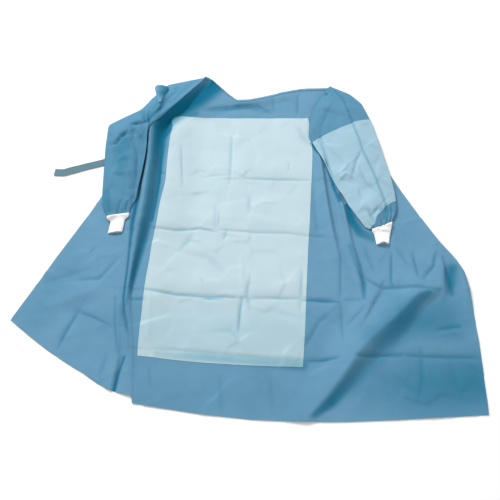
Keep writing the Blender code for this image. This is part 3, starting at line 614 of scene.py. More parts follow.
def grid_piece(name, x, y, z, painted_shade):
    """A new piece with a grid of points and the painted shade at each one."""
    bpy.ops.object.select_all(action="DESELECT")
    rows, columns = x.shape
    bpy.ops.mesh.primitive_grid_add(x_subdivisions=columns - 1, y_subdivisions=rows - 1,
                                    size=1.0, location=(0.0, 0.0, 0.0))
    piece = bpy.context.object
    piece.name = name
    piece.data.name = name
    points = np.stack([x + TO_MIDDLE[0], y + TO_MIDDLE[1], z], axis=-1)[::-1]
    piece.data.vertices.foreach_set("co", points.reshape(-1).astype(np.float32))
    if painted_shade is not None:
        layer = piece.data.attributes.new("painted_shade", "FLOAT", "POINT")
        layer.data.foreach_set("value", painted_shade[::-1].reshape(-1).astype(np.float32))
    piece.data.update()
    return piece


def give_thickness(piece, thickness, smooth_angle, material):
    """The cloth's thickness, inwards from its points, and its material."""
    wall = piece.modifiers.new("thickness", "SOLIDIFY")
    wall.thickness = thickness
    wall.offset = -1.0
    bpy.ops.object.modifier_apply(modifier=wall.name)
    bpy.ops.object.shade_smooth_by_angle(angle=math.radians(smooth_angle))
    piece.data.materials.clear()
    piece.data.materials.append(material)


def sheet_of(name, x, y, z, material, thickness, painted_shade=None):
    """A sheet of cloth through the given points, with its thickness below them."""
    piece = grid_piece(name, x, y, z, painted_shade)
    give_thickness(piece, thickness, SHEET_SMOOTH, material)
    return piece


def flat_area(x, y, z):
    """The area of the cloth through the given points."""
    points = np.stack([x, y, z], axis=-1)
    a = points[1:, :-1] - points[:-1, :-1]
    b = points[:-1, 1:] - points[:-1, :-1]
    return float(np.linalg.norm(np.cross(a, b), axis=-1).sum())


FRONT_ROWS = 276
body_levels = np.linspace(NECK_LEVEL, HEM_LEVEL, FRONT_ROWS)
front_grid = front_points(body_levels)
front = sheet_of("gown_front", *front_grid, blue_cloth, CLOTH, painted_shade_at(*front_grid[:2]))
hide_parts("front")
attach(front, "root")


# The back panels: two flared panels of the blue cloth, opened out to the sides.
# Each is sewn to the front along one edge, and its other edge is free.
BACK_RIGHT_SECTIONS = (
    # y, edge_x, edge_y, foot of the pleat from its crest
    (0.410, -0.455, 0.440, 0.036),
    (0.230, -0.480, 0.300, 0.036),
    (0.070, -0.486, 0.130, 0.026),
    (-0.010, -0.515, 0.060, 0.017),
    (-0.170, -0.574, -0.060, 0.014),
    (-0.330, -0.633, -0.180, 0.018),
    (-0.500, -0.687, -0.293, 0.022),
    (-0.620, -0.728, -0.378, 0.053),
)
BACK_LEFT_SECTIONS = (
    # y, edge_x, edge_y
    (0.560, 0.380, 0.580),
    (0.440, 0.455, 0.480),
    (0.310, 0.500, 0.370),
    (0.230, 0.518, 0.280),
    (0.150, 0.537, 0.212),
    (0.070, 0.568, 0.138),
    (-0.010, 0.602, 0.064),
    (-0.090, 0.638, -0.012),
    (-0.170, 0.677, -0.092),
    (-0.250, 0.719, -0.162),
    (-0.290, 0.740, -0.212),
    (-0.330, 0.746, -0.262),
    (-0.410, 0.745, -0.370),
    (-0.500, 0.741, -0.485),
    (-0.620, 0.730, -0.648),
    (-0.640, 0.728, -0.676),
)
EDGE_X, EDGE_Y, FOOT = range(1, 4)
RIGHT_HEM_BOW = 0.024
PLEAT_HEM_BOW = 0.011
PLEAT_HEM_FROM = 0.62
BACK_LEFT_COLUMNS = 100
BACK_RIGHT_COLUMNS = 66
PLEAT_COLUMNS = 12
SIDE_GAP = 0.0002
BACK_RIGHT_TOP = 0.410
BACK_RIGHT_HEM = -0.6205


def straight_column(table, index, levels):
    """A section table's column, with straight lines between its rows."""
    rows = np.array(table)[::-1]
    return np.interp(levels, rows[:, 0], rows[:, index])


def back_left_points(levels):
    """The left back panel's points, from the side seam to the free edge."""
    side = column(FRONT_SECTIONS, SIDE, levels)[:, None] + SIDE_GAP
    side_y = front_y(side, levels[:, None])
    edge_x = straight_column(BACK_LEFT_SECTIONS, EDGE_X, levels)[:, None]
    edge_y = straight_column(BACK_LEFT_SECTIONS, EDGE_Y, levels)[:, None]
    share = np.linspace(0.0, 1.0, BACK_LEFT_COLUMNS)
    x = side + (edge_x - side) * share
    y = side_y + (edge_y - side_y) * share
    return x, y, cloth_height(x, y, np.zeros_like(x))


def back_right_points(levels):
    """The right back panel's points, from its free edge up the pleat's slope."""
    crest = column(FRONT_SECTIONS, SEAM, levels) - SIDE_GAP
    crest_y = front_y(crest, levels)[:, None]
    crest_z = column(FRONT_SECTIONS, SEAM_Z, levels)[:, None]
    foot = crest - column(BACK_RIGHT_SECTIONS, FOOT, levels)
    edge_x = straight_column(BACK_RIGHT_SECTIONS, EDGE_X, levels)
    edge_y = straight_column(BACK_RIGHT_SECTIONS, EDGE_Y, levels)[:, None]
    x = spread_columns([edge_x, foot, crest], (BACK_RIGHT_COLUMNS, PLEAT_COLUMNS))
    share = (x - edge_x[:, None]) / (crest - edge_x)[:, None]
    hem_share = (HEM_CURVE_START - levels) / (HEM_CURVE_START - HEM_LEVEL)
    pleat_share = np.clip((share - PLEAT_HEM_FROM) / (1.0 - PLEAT_HEM_FROM), 0.0, 1.0)
    sag = RIGHT_HEM_BOW * np.sin(np.pi * share) + PLEAT_HEM_BOW * np.sin(np.pi * pleat_share)
    sag = sag * ease(hem_share)[:, None]
    y = edge_y + (crest_y - edge_y) * share - sag
    climb = (x - foot[:, None]) / (crest - foot)[:, None]
    return x, y, cloth_height(x, y, crest_z * ease(climb))


back_left_grid = back_left_points(body_levels)
back_left = sheet_of("gown_back_left", *back_left_grid, blue_cloth, CLOTH,
                     painted_shade_at(*back_left_grid[:2]))
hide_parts("back_left")
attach(back_left, "root")

right_levels = body_levels[(body_levels <= BACK_RIGHT_TOP)
                           & (body_levels >= BACK_RIGHT_HEM)]
back_right_grid = back_right_points(right_levels)
back_right = sheet_of("gown_back_right", *back_right_grid, blue_cloth, CLOTH,
                      painted_shade_at(*back_right_grid[:2]))
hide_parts("back_right")
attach(back_right, "root")


# The front's reinforcement: a pale sheet laminated with a film, welded on the
# front along its edges. It shows the blue below a little.
PALE = (0.492, 0.622, 0.668)
PALE_DARK = (0.440, 0.580, 0.640)
# The colour that folds and creases of the laminate are painted towards: painted shade
PALE_SHADED = (0.085, 0.310, 0.410)
LAMINATE = 0.0005
LAMINATE_LIFT = 0.0007

pale_cloth = nonwoven("pale_laminate", PALE, PALE_DARK, PALE_SHADED,
                      roughness=0.50, sheen=0.10, bump=0.15, mottle=0.7)
covered = (body_levels <= BIB_TOP) & (body_levels >= BIB_BOTTOM)
bib_columns = slice(sum(FRONT_COLUMNS[:2]), sum(FRONT_COLUMNS[:3]) + 1)
bib_grid = [part[covered][:, bib_columns].copy() for part in front_grid]
bib_grid[2] += LAMINATE_LIFT
bib = sheet_of("front_reinforcement", *bib_grid, pale_cloth, LAMINATE,
               painted_shade_at(*bib_grid[:2]))
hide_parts("front_reinforcement")
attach(bib, "root")


# The neck binding: a narrow strip of the blue cloth, folded over the front's
# edge and stitched down.
BINDING_ROWS = 7
BINDING_LIFT = 0.0008
BINDING_ROLL = 0.0012
BINDING_ROLL_ANGLES = (0.15, math.pi - 0.25)

binding_levels = np.linspace(NECK_LEVEL, BINDING_LEVEL, BINDING_ROWS)
binding_grid = list(front_points(binding_levels))
roll = np.sin(np.linspace(*BINDING_ROLL_ANGLES, BINDING_ROWS))[:, None]
binding_grid[2] = binding_grid[2] + BINDING_LIFT + BINDING_ROLL * roll
binding = sheet_of("neck_binding", *binding_grid, blue_cloth, CLOTH,
                   painted_shade_at(*binding_grid[:2]))
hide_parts("neck_binding")
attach(binding, "root")


# The waist tie: a flat strap of folded cloth, sewn to the right back panel's
# edge. It lies on the table and comes out from under the sleeve.
STRAP = 0.0011
TIE_WIDTH = 0.030
TIE_ROUTE = (
    # x, y
    (-0.4875, 0.262), (-0.514, 0.252), (-0.577, 0.232), (-0.629, 0.214),
    (-0.650, 0.206), (-0.684, 0.208),
)
TIE_HEIGHTS = [0.0014, 0.0014, 0.0018, 0.0030, 0.0024, 0.0016]
TIE_STEPS = 60
TIE_COLUMNS = 9
STRAP_TWIST = 0.0004
TWIST_WAVES = 90.0

GREY_BLUE = (0.122, 0.218, 0.268)
GREY_BLUE_DARK = (0.082, 0.168, 0.215)

strap_cloth = nonwoven("grey_blue_strap", GREY_BLUE, GREY_BLUE_DARK, BLUE_SHADED,
                       roughness=0.66, sheen=0.15, bump=0.45)


def strap_points(route, width, steps, columns, heights):
    """A flat strip along a route, a little uneven as folded cloth is."""
    route = np.array(route)
    along = lengths_along(route[:, :2])
    at = np.linspace(0.0, along[-1], steps)
    x = np.interp(at, along, route[:, 0])
    y = np.interp(at, along, route[:, 1])
    soft = np.ones(5) / 5.0
    x[2:-2] = np.convolve(x, soft, mode="valid")
    y[2:-2] = np.convolve(y, soft, mode="valid")
    run_x, run_y = np.gradient(x), np.gradient(y)
    length = np.hypot(run_x, run_y)
    across = np.linspace(-0.5, 0.5, columns) * width
    px = x[:, None] + (run_y / length)[:, None] * across
    py = y[:, None] - (run_x / length)[:, None] * across
    rise = np.interp(at, along, heights)[:, None]
    twist = STRAP_TWIST * np.sin(TWIST_WAVES * at)[:, None]
    return px, py, rise + twist * (across / width)


tie_grid = strap_points(TIE_ROUTE, TIE_WIDTH, TIE_STEPS, TIE_COLUMNS, TIE_HEIGHTS)
tie = sheet_of("waist_tie", *tie_grid, strap_cloth, STRAP)
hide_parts("waist_tie")
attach(tie, "root")


# The right sleeve: one piece of the blue cloth with its shoulder part up to the
# neck, sewn into a tube. It is folded down over the right back panel, beside the
# long pleat.
SLEEVE_RIGHT_SECTIONS = (
    # under_x, under_y, over_x, over_y, bow, under_z, over_z, crown
    (-0.342, 0.397, -0.1390, 0.6710, 0.004, 0.034, 0.020, 0.010),
    (-0.349, 0.388, -0.226, 0.661, 0.003, 0.024, 0.008, 0.012),
    (-0.351, 0.374, -0.299, 0.647, 0.005, 0.014, 0.002, 0.012),
    (-0.352, 0.352, -0.355, 0.575, 0.006, 0.008, 0.001, 0.012),
    (-0.351, 0.332, -0.393, 0.512, 0.008, 0.006, 0.005, 0.010),
    (-0.350, 0.309, -0.462, 0.467, 0.006, 0.004, 0.005, 0.008),
    (-0.351, 0.280, -0.512, 0.432, 0.004, 0.004, 0.005, 0.006),
    (-0.354, 0.235, -0.511, 0.319, 0.002, 0.004, 0.005, 0.006),
    (-0.360, 0.174, -0.503, 0.203, 0.000, 0.004, 0.005, 0.006),
    (-0.375, 0.084, -0.496, 0.107, 0.000, 0.004, 0.005, 0.006),
    (-0.388, 0.044, -0.489, 0.053, 0.000, 0.003, 0.004, 0.004),
    (-0.391, 0.026, -0.468, 0.010, 0.000, 0.002, 0.002, 0.002),
)
RIGHT_SLEEVE_CREASES = (
    # points, depth, width, and the pillows on the left and on the right
    (((-0.505, 0.328), (-0.470, 0.333), (-0.431, 0.391)), 0.0050, 0.007, 0.0030, -0.0010),
    (((-0.431, 0.389), (-0.405, 0.410), (-0.361, 0.344)), -0.0040, 0.007, 0.0030, -0.0020),
    (((-0.469, 0.323), (-0.464, 0.241), (-0.479, 0.201)), 0.0020, 0.007, 0.0026, -0.0016),
    (((-0.479, 0.201), (-0.423, 0.191)), -0.0016, 0.007, 0.0000, 0.0010),
    (((-0.409, 0.370), (-0.382, 0.266), (-0.378, 0.138)), 0.0026, 0.007, -0.0016, 0.0030),
    (((-0.430, 0.260), (-0.414, 0.226), (-0.378, 0.138)), 0.0022, 0.006, 0.0022, -0.0016),
    (((-0.420, 0.167), (-0.411, 0.123), (-0.373, 0.128)), 0.0016, 0.006, 0.0012, 0.0000),
    (((-0.483, 0.132), (-0.444, 0.030)), 0.0026, 0.006, -0.0010, 0.0022),
    (((-0.470, 0.075), (-0.452, 0.020)), 0.0030, 0.005, 0.0010, 0.0000),
    (((-0.425, 0.070), (-0.430, 0.025)), 0.0030, 0.005, 0.0000, 0.0010),
    (((-0.400, 0.070), (-0.405, 0.030)), 0.0030, 0.005, 0.0000, 0.0000),
    (((-0.425, 0.424), (-0.380, 0.431)), 0.0060, 0.006, 0.0000, 0.0000),
    (((-0.385, 0.490), (-0.373, 0.448), (-0.360, 0.420)), 0.0070, 0.006, 0.0020, 0.0000),
    (((-0.362, 0.480), (-0.353, 0.431), (-0.344, 0.377)), 0.0080, 0.006, 0.0000, 0.0000),
    (((-0.334, 0.482), (-0.319, 0.504), (-0.300, 0.596)), -0.0060, 0.006, 0.0020, -0.0020),
    (((-0.318, 0.470), (-0.290, 0.540), (-0.250, 0.600)), 0.0030, 0.009, 0.0010, 0.0020),
    (((-0.250, 0.560), (-0.190, 0.630)), 0.0016, 0.009, 0.0014, 0.0000),
)
# Painted shade on the right sleeve: a wide one over all of it, and more in places
RIGHT_SLEEVE_SHADE = (
    # x, y, width, strength
    ((-0.200, 0.640, 0.500, 0.38), (-0.480, 0.050, 0.500, 0.38)),
    ((-0.440, 0.370, 0.034, 0.62), (-0.444, 0.290, 0.044, 0.65), (-0.440, 0.200, 0.034, 0.58)),
    ((-0.340, 0.470, 0.050, 0.62), (-0.300, 0.540, 0.040, 0.55)),
    ((-0.484, 0.110, 0.026, 0.60), (-0.466, 0.040, 0.026, 0.60)),
    ((-0.374, 0.380, 0.020, 0.60), (-0.380, 0.370, 0.020, 0.60)),
)
SLEEVE_PILLOW_REACH = 0.028
SLEEVE_FACETS = 2.2
RIGHT_ROWS = 130
RIGHT_COLUMNS = 56
RIGHT_GATHER = 0.0012
UNDER_X, UNDER_Y, OVER_X, OVER_Y, BOW, UNDER_Z, OVER_Z, CROWN = range(8)
PILE_PITCH = 0.004
PILE_REACH = 3
PILE_GAP = 0.0006
HOLLOW = 0.0036
HOLLOW_AT_FOLD = 0.0006
SEWN_FLAT = 0.08
GATHER_FOLDS = 11
GATHER_FROM = 0.86
GATHER_RISE = 1.3
# The gathers aren't even: how far they sway sideways, and in waves how close
GATHER_SWAY = 1.3
GATHER_SWAY_WAVES = 7.0
# The share of the hollow that a crease can dent the upper side by
DENT = 0.6
# The share of a tube's points that crowd towards its two folds, the share of the
# creases that its lower side follows, and how wide its rounded folds are
CROWDED = 0.35
LOWER_SIDE = 0.5
ROUND_FOLD = 0.02
FOLD_THINNEST = 0.02
TUBE_SMOOTH = 60.0


class Pile:
    """The height of all that is already laid down, on a fine square grid."""

    def __init__(self):
        """An empty table."""
        self.xs = np.arange(-AREA_X, AREA_X + PILE_PITCH / 4, PILE_PITCH)
        self.ys = np.arange(-AREA_Y, AREA_Y + PILE_PITCH / 4, PILE_PITCH)
        self.height = np.zeros((len(self.ys), len(self.xs)))

    def add(self, piece):
        """Lays a piece on the pile, as seen from above."""
        mesh = piece.data
        tree = BVHTree.FromPolygons([v.co for v in mesh.vertices],
                                    [tuple(p.vertices) for p in mesh.polygons])
        points = np.array([v.co for v in mesh.vertices])
        low, high = points.min(axis=0), points.max(axis=0)
        down = Vector((0.0, 0.0, -1.0))
        for row in np.flatnonzero((self.ys >= low[1]) & (self.ys <= high[1])):
            for place in np.flatnonzero((self.xs >= low[0]) & (self.xs <= high[0])):
                start = Vector((self.xs[place], self.ys[row], 1.0))
                hit = tree.ray_cast(start, down)[0]
                if hit and hit.z > self.height[row, place]:
                    self.height[row, place] = hit.z

    def over(self, x, y):
        """The smooth height that clears the pile around each point."""
        wide = self.height
        for shift in range(1, PILE_REACH + 1):
            for axis in (0, 1):
                wide = np.maximum(wide, np.roll(self.height, shift, axis))
                wide = np.maximum(wide, np.roll(self.height, -shift, axis))
        soft = wide
        for _ in range(2):
            soft = sum(np.roll(np.roll(soft, i, 0), j, 1)
                       for i in (-1, 0, 1) for j in (-1, 0, 1)) / 9.0
        column_at = np.clip((x + TO_MIDDLE[0] - self.xs[0]) / PILE_PITCH,
                            0, len(self.xs) - 1.001)
        row_at = np.clip((y + TO_MIDDLE[1] - self.ys[0]) / PILE_PITCH,
                         0, len(self.ys) - 1.001)
        j, i = column_at.astype(int), row_at.astype(int)
        a, b = column_at - j, row_at - i
        return ((soft[i, j] * (1 - a) + soft[i, j + 1] * a) * (1 - b)
                + (soft[i + 1, j] * (1 - a) + soft[i + 1, j + 1] * a) * b) + PILE_GAP


def tube_sections(table, rows):
    """The table's sections, with many smooth ones between them."""
    table = np.array(table)
    middle = (table[:, 0:2] + table[:, 2:4]) / 2
    along = lengths_along(middle)
    at = np.linspace(0.0, along[-1], rows)
    stacked = [np.interp(at, along, table[:, i]) for i in range(table.shape[1])]
    result = np.stack(stacked, axis=1)
    kernel = np.array([1.0, 2.0, 3.0, 2.0, 1.0]) / 9.0
    for i in range(result.shape[1]):
        result[2:-2, i] = np.convolve(result[:, i], kernel, mode="valid")
    return result, at / along[-1]


def tube_layers(table, rows, columns, pile, wall, creases, gather, lift=0.0, puff=0.0,
                facets=SLEEVE_FACETS):
    """A flattened tube's lower and upper sides, each as x, y and z grids."""
    sections, share_along = tube_sections(table, rows)
    share = (1.0 - np.cos(np.linspace(0.0, math.pi, columns))) / 2
    share = CROWDED * share + (1.0 - CROWDED) * np.linspace(0.0, 1.0, columns)
    under = sections[:, None, UNDER_X:UNDER_Y + 1]
    over = sections[:, None, OVER_X:OVER_Y + 1]
    across = over - under
    length = np.linalg.norm(across, axis=-1, keepdims=True)
    to_neck = np.stack([-across[..., 1], across[..., 0]], axis=-1) / length
    to_neck = np.where(to_neck[..., :1] * over[..., :1] > 0.0, -to_neck, to_neck)
    swell = np.sin(np.pi * share)[None, :]
    place = under + across * share[None, :, None]
    place = place + to_neck * (sections[:, BOW][:, None] * swell)[..., None]
    x, y = place[..., 0], place[..., 1]
    rest = sections[:, UNDER_Z][:, None] * (1 - share) + sections[:, OVER_Z][:, None] * share
    rest = rest + sections[:, CROWN][:, None] * swell
    creased = (line_relief(creases, x, y, SLEEVE_PILLOW_REACH)
               + facets * facet_relief(x, y))
    base = np.maximum(pile.over(x, y) + lift, rest + LOWER_SIDE * creased)
    sewn = ease(share_along / SEWN_FLAT)[:, None]
    hollow = HOLLOW_AT_FOLD + (HOLLOW + puff - HOLLOW_AT_FOLD) * sewn * swell ** 0.5
    gathers = np.zeros_like(x)
    if gather:
        near_cuff = np.clip((share_along - GATHER_FROM) / (1.0 - GATHER_FROM), 0.0, 1.0)
        near_cuff = near_cuff[:, None] ** GATHER_RISE
        sway = GATHER_SWAY * np.sin(GATHER_SWAY_WAVES * share)
        wave = np.sin(np.pi * GATHER_FOLDS * share + sway)
        gathers = gather * near_cuff * wave[None, :] * swell ** 0.5
    relief = np.maximum(creased * sewn * swell ** 0.4, -DENT * hollow)
    top = base + 2 * wall + hollow + relief
    top = np.maximum(top + gathers, base + 2 * wall + HOLLOW_AT_FOLD)
    edge = np.minimum(np.minimum(share, 1.0 - share) / ROUND_FOLD, 1.0)[None, :]
    round_edge = np.sqrt(1.0 - (1.0 - edge) ** 2)
    round_edge = FOLD_THINNEST + (1.0 - FOLD_THINNEST) * round_edge
    middle = (base + top) / 2
    base = middle + (base - middle) * round_edge
    top = middle + (top - middle) * round_edge
    return x, y, base, top


def tube_of(name, x, y, low, high, material, thickness, painted_shade=None,
            smooth_angle=TUBE_SMOOTH):
    """A flattened tube of cloth around the two sides, open at both ends."""
    around_x = np.concatenate([x, x[:, -2:0:-1]], axis=1)
    around_y = np.concatenate([y, y[:, -2:0:-1]], axis=1)
    around_z = np.concatenate([high, low[:, -2:0:-1]], axis=1)
    if painted_shade is None:
        painted_shade = np.zeros_like(x)
    # Only the upper side takes the painted shade
    around_shade = np.concatenate([painted_shade, np.zeros_like(painted_shade[:, -2:0:-1])], axis=1)
    closed = [np.concatenate([part, part[:, :1]], axis=1)
              for part in (around_x, around_y, around_z, around_shade)]
    piece = grid_piece(name, *closed)
    bpy.ops.object.mode_set(mode="EDIT")
    bpy.ops.mesh.select_all(action="SELECT")
    bpy.ops.mesh.remove_doubles(threshold=0.00001)
    bpy.ops.mesh.normals_make_consistent(inside=False)
    bpy.ops.object.mode_set(mode="OBJECT")
    give_thickness(piece, thickness, smooth_angle, material)
    return piece, flat_area(*closed[:3])


pile = Pile()
for laid in (front, back_left, back_right, bib, binding, tie):
    pile.add(laid)

right_sides = tube_layers(SLEEVE_RIGHT_SECTIONS, RIGHT_ROWS, RIGHT_COLUMNS, pile, CLOTH,
                          RIGHT_SLEEVE_CREASES, RIGHT_GATHER)
# The right sleeve's painted shade, over its areas and in its creases
right_shade = np.maximum(shade_along(RIGHT_SLEEVE_SHADE, *right_sides[:2], SOFT_TINT),
                        crease_shade(RIGHT_SLEEVE_CREASES, *right_sides[:2]))
sleeve_right, cut_area = tube_of("gown_sleeve_right", *right_sides, blue_cloth, CLOTH,
                                 right_shade)
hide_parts("sleeve_right")
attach(sleeve_right, "root")


# The left sleeve: the same piece of the blue cloth on the other side, sewn into a
# tube and folded down over the front and the left back panel. Its long seam
# shows on top.
SLEEVE_LEFT_SECTIONS = (
    # under_x, under_y, over_x, over_y, bow, under_z, over_z, crown
    (0.254, 0.369, 0.352, 0.634, 0.026, 0.006, 0.008, 0.004),
    (0.258, 0.362, 0.427, 0.589, 0.024, 0.006, 0.010, 0.006),
    (0.263, 0.353, 0.470, 0.538, 0.020, 0.006, 0.010, 0.008),
    (0.268, 0.343, 0.499, 0.440, 0.010, 0.006, 0.010, 0.008),
    (0.297, 0.270, 0.518, 0.333, 0.004, 0.006, 0.010, 0.008),
    (0.317, 0.213, 0.531, 0.248, 0.002, 0.006, 0.010, 0.008),
    (0.337, 0.156, 0.541, 0.180, 0.000, 0.006, 0.010, 0.008),
    (0.376, 0.065, 0.547, 0.114, 0.000, 0.006, 0.009, 0.008),
    (0.406, 0.008, 0.548, 0.055, 0.000, 0.006, 0.008, 0.008),
    (0.430, -0.033, 0.543, 0.022, 0.000, 0.004, 0.006, 0.006),
    (0.451, -0.043, 0.524, -0.014, 0.000, 0.003, 0.003, 0.004),
)
LEFT_SLEEVE_CREASES = (
    # points, depth, width, and the pillows on the left and on the right
    (((0.300, 0.365), (0.306, 0.313), (0.318, 0.253), (0.334, 0.160)),
     0.0034, 0.006, 0.0020, 0.0020),
    (((0.312, 0.345), (0.387, 0.229)), -0.0026, 0.007, 0.0022, -0.0020),
    (((0.387, 0.229), (0.347, 0.182)), -0.0016, 0.006, 0.0000, -0.0016),
    (((0.339, 0.150), (0.379, 0.190), (0.401, 0.171)), -0.0034, 0.006, 0.0022, -0.0010),
    (((0.401, 0.171), (0.424, 0.253), (0.444, 0.288)), 0.0024, 0.006, 0.0000, 0.0018),
    (((0.428, 0.217), (0.445, 0.148), (0.485, 0.103)), 0.0020, 0.006, 0.0014, -0.0008),
    (((0.271, 0.497), (0.335, 0.490), (0.395, 0.462)), 0.0020, 0.008, 0.0022, -0.0020),
    (((0.335, 0.490), (0.310, 0.420), (0.300, 0.380)), 0.0018, 0.008, -0.0010, 0.0016),
    (((0.330, 0.590), (0.300, 0.545), (0.285, 0.500)), 0.0026, 0.007, 0.0000, 0.0016),
    (((0.338, 0.596), (0.332, 0.578)), 0.0060, 0.006, 0.0000, 0.0000),
    (((0.450, 0.330), (0.515, 0.300)), 0.0010, 0.009, 0.0012, 0.0000),
    (((0.500, 0.160), (0.538, 0.120)), 0.0010, 0.009, 0.0010, 0.0000),
    (((0.452, 0.004), (0.480, 0.040), (0.500, 0.020)), 0.0030, 0.006, 0.0016, 0.0000),
    (((0.492, 0.050), (0.500, -0.010)), 0.0034, 0.005, 0.0000, 0.0016),
    (((0.512, 0.060), (0.516, 0.000)), 0.0030, 0.005, 0.0016, 0.0000),
    (((0.530, 0.055), (0.522, 0.005)), 0.0030, 0.005, 0.0000, 0.0000),
    (((0.445, 0.030), (0.462, -0.018)), 0.0026, 0.005, 0.0000, 0.0010),
)
SLEEVE_SEAM = ((0.368, 0.606), (0.397, 0.558), (0.406, 0.510), (0.420, 0.445), (0.437, 0.362),
               (0.449, 0.288), (0.473, 0.206), (0.492, 0.120), (0.505, 0.060), (0.498, 0.000))
SEAM_RIDGE = 0.0016
SEAM_WIDTH = 0.0035
# Painted shade in a dark line just beside the seam's ridge: its strength and how far it lies off
# the seam
SEAM_DARK = 0.60
SEAM_DARK_FROM = 0.002
# The whole left sleeve takes at least this share of the painted shade
LEFT_SLEEVE_SHADE = 0.26
LEFT_ROWS = 150
LEFT_COLUMNS = 64
LEFT_GATHER = 0.0030
LEFT_LIFT = 0.0012
LEFT_FACETS = 1.2

left_sides = list(tube_layers(SLEEVE_LEFT_SECTIONS, LEFT_ROWS, LEFT_COLUMNS, pile, CLOTH,
                              LEFT_SLEEVE_CREASES, LEFT_GATHER, lift=LEFT_LIFT,
                              facets=LEFT_FACETS))
seam_away = nearest_along(left_sides[0], left_sides[1], SLEEVE_SEAM)[0]
left_sides[3] = left_sides[3] + SEAM_RIDGE * np.exp(-(seam_away / SEAM_WIDTH) ** 2)
seam_shade = SEAM_DARK * np.exp(-((seam_away - SEAM_DARK_FROM) / SEAM_WIDTH) ** 2)
left_shade = np.maximum(seam_shade, crease_shade(LEFT_SLEEVE_CREASES, *left_sides[:2]))
sleeve_left, cut_area = tube_of("gown_sleeve_left", *left_sides, blue_cloth, CLOTH,
                                np.maximum(left_shade, LEFT_SLEEVE_SHADE))
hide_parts("sleeve_left")
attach(sleeve_left, "root")


# The left sleeve's reinforcement: the pale laminate again, wrapped around the
# forearm over the blue cloth and welded to it along its two borders.
# Its colour is darker than the same laminate's on the front
WRAP = (0.335, 0.510, 0.606)
WRAP_DARK = (0.290, 0.465, 0.560)
REINFORCED_LIFT = 0.0006
REINFORCED_SPREAD = 1.6
REINFORCED_ROWS = 120
# Where the reinforcement starts and ends, in the table's rows, from the underarm
# fold to the overarm fold
REINFORCED = (
    # share across, first row, last row
    (0.00, 2.85, 9.70), (0.30, 2.92, 9.20), (0.42, 2.92, 8.60), (0.55, 2.89, 8.30),
    (0.66, 2.86, 7.95), (0.70, 2.80, 7.87), (1.00, 2.86, 7.68),
)


def rows_between(grid, first, last, rows):
    """A grid's part between two rows that differ from column to column."""
    at = first[None, :] + (last - first)[None, :] * np.linspace(0.0, 1.0, rows)[:, None]
    lower = np.clip(at.astype(int), 0, grid.shape[0] - 2)
    columns = np.arange(grid.shape[1])[None, :]
    share = at - lower
    return grid[lower, columns] * (1.0 - share) + grid[lower + 1, columns] * share


def table_place(table, row):
    """How far along the tube a row of its table lies, as a row of the grid."""
    table = np.array(table)
    middle = (table[:, 0:2] + table[:, 2:4]) / 2
    along = lengths_along(middle)
    return np.interp(row, np.arange(len(along)), along) / along[-1] * (LEFT_ROWS - 1)


wrap_cloth = nonwoven("pale_laminate_on_sleeve", WRAP, WRAP_DARK, PALE_SHADED,
                      roughness=0.50, sheen=0.10, bump=0.15, mottle=0.7)
borders = np.array(REINFORCED)
across = np.linspace(0.0, 1.0, LEFT_COLUMNS)
first = table_place(SLEEVE_LEFT_SECTIONS, np.interp(across, borders[:, 0], borders[:, 1]))
last = table_place(SLEEVE_LEFT_SECTIONS, np.interp(across, borders[:, 0], borders[:, 2]))
# The reinforcement takes the painted shade of the sleeve's seam and creases below it
wrap = [rows_between(part, first, last, REINFORCED_ROWS)
        for part in (*left_sides, left_shade)]
wrap_shade = wrap.pop()
under = np.stack([wrap[0][:, 0], wrap[1][:, 0]], axis=-1)
over = np.stack([wrap[0][:, -1], wrap[1][:, -1]], axis=-1)
outward = (over - under) / np.linalg.norm(over - under, axis=-1, keepdims=True)
spread = np.linspace(-1.0, 1.0, LEFT_COLUMNS)[None, :] * REINFORCED_LIFT
spread = spread * REINFORCED_SPREAD
wrap[0] = wrap[0] + outward[:, :1] * spread
wrap[1] = wrap[1] + outward[:, 1:] * spread
wrap[2] = wrap[2] - REINFORCED_LIFT
wrap[3] = wrap[3] + REINFORCED_LIFT
wrap_piece, cut_area = tube_of("sleeve_reinforcement", *wrap, wrap_cloth, LAMINATE, wrap_shade)
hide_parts("sleeve_left_reinforcement")
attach(wrap_piece, "root")

for laid in (sleeve_right, sleeve_left, wrap_piece):
    pile.add(laid)


# The cuffs: short tubes of white cotton rib knit, sewn into the gathered sleeve
# ends. Each rib is about 2.6 mm wide, and the tubes lie pressed flat.
CUFF_RIGHT_SECTIONS = (
    # under_x, under_y, over_x, over_y, bow, under_z, over_z, crown
    (-0.391, 0.0255, -0.468, 0.0095, 0.000, 0.002, 0.002, 0.002),
    (-0.390, 0.014, -0.466, 0.000, 0.000, 0.001, 0.001, 0.002),
    (-0.404, -0.001, -0.453, -0.009, 0.000, 0.001, 0.001, 0.002),
    (-0.405, -0.026, -0.455, -0.032, 0.000, 0.001, 0.001, 0.002),
    (-0.408, -0.050, -0.457, -0.056, 0.000, 0.001, 0.001, 0.002),
)
CUFF_LEFT_SECTIONS = (
    # under_x, under_y, over_x, over_y, bow, under_z, over_z, crown
    (0.451, -0.0435, 0.524, -0.0145, 0.000, 0.003, 0.003, 0.004),
    (0.450, -0.051, 0.522, -0.027, 0.000, 0.002, 0.002, 0.003),
    (0.457, -0.060, 0.516, -0.047, 0.000, 0.001, 0.001, 0.003),
    (0.459, -0.078, 0.508, -0.076, 0.000, 0.001, 0.001, 0.003),
    (0.461, -0.101, 0.504, -0.099, 0.000, 0.001, 0.001, 0.003),
)
KNIT = 0.0013
RIBS = 19
RIB_HEIGHT = 0.0005
POINTS_PER_RIB = 6

WHITE = (0.92, 0.90, 0.89)
WHITE_DARK = (0.86, 0.84, 0.84)
CUFF_OPENING = 0.0050
CUFF_CUT_BACK = 0.0045
CUFF_ROWS = 44
CUFF_PUFF = 0.0015
KNIT_SMOOTH = 80.0
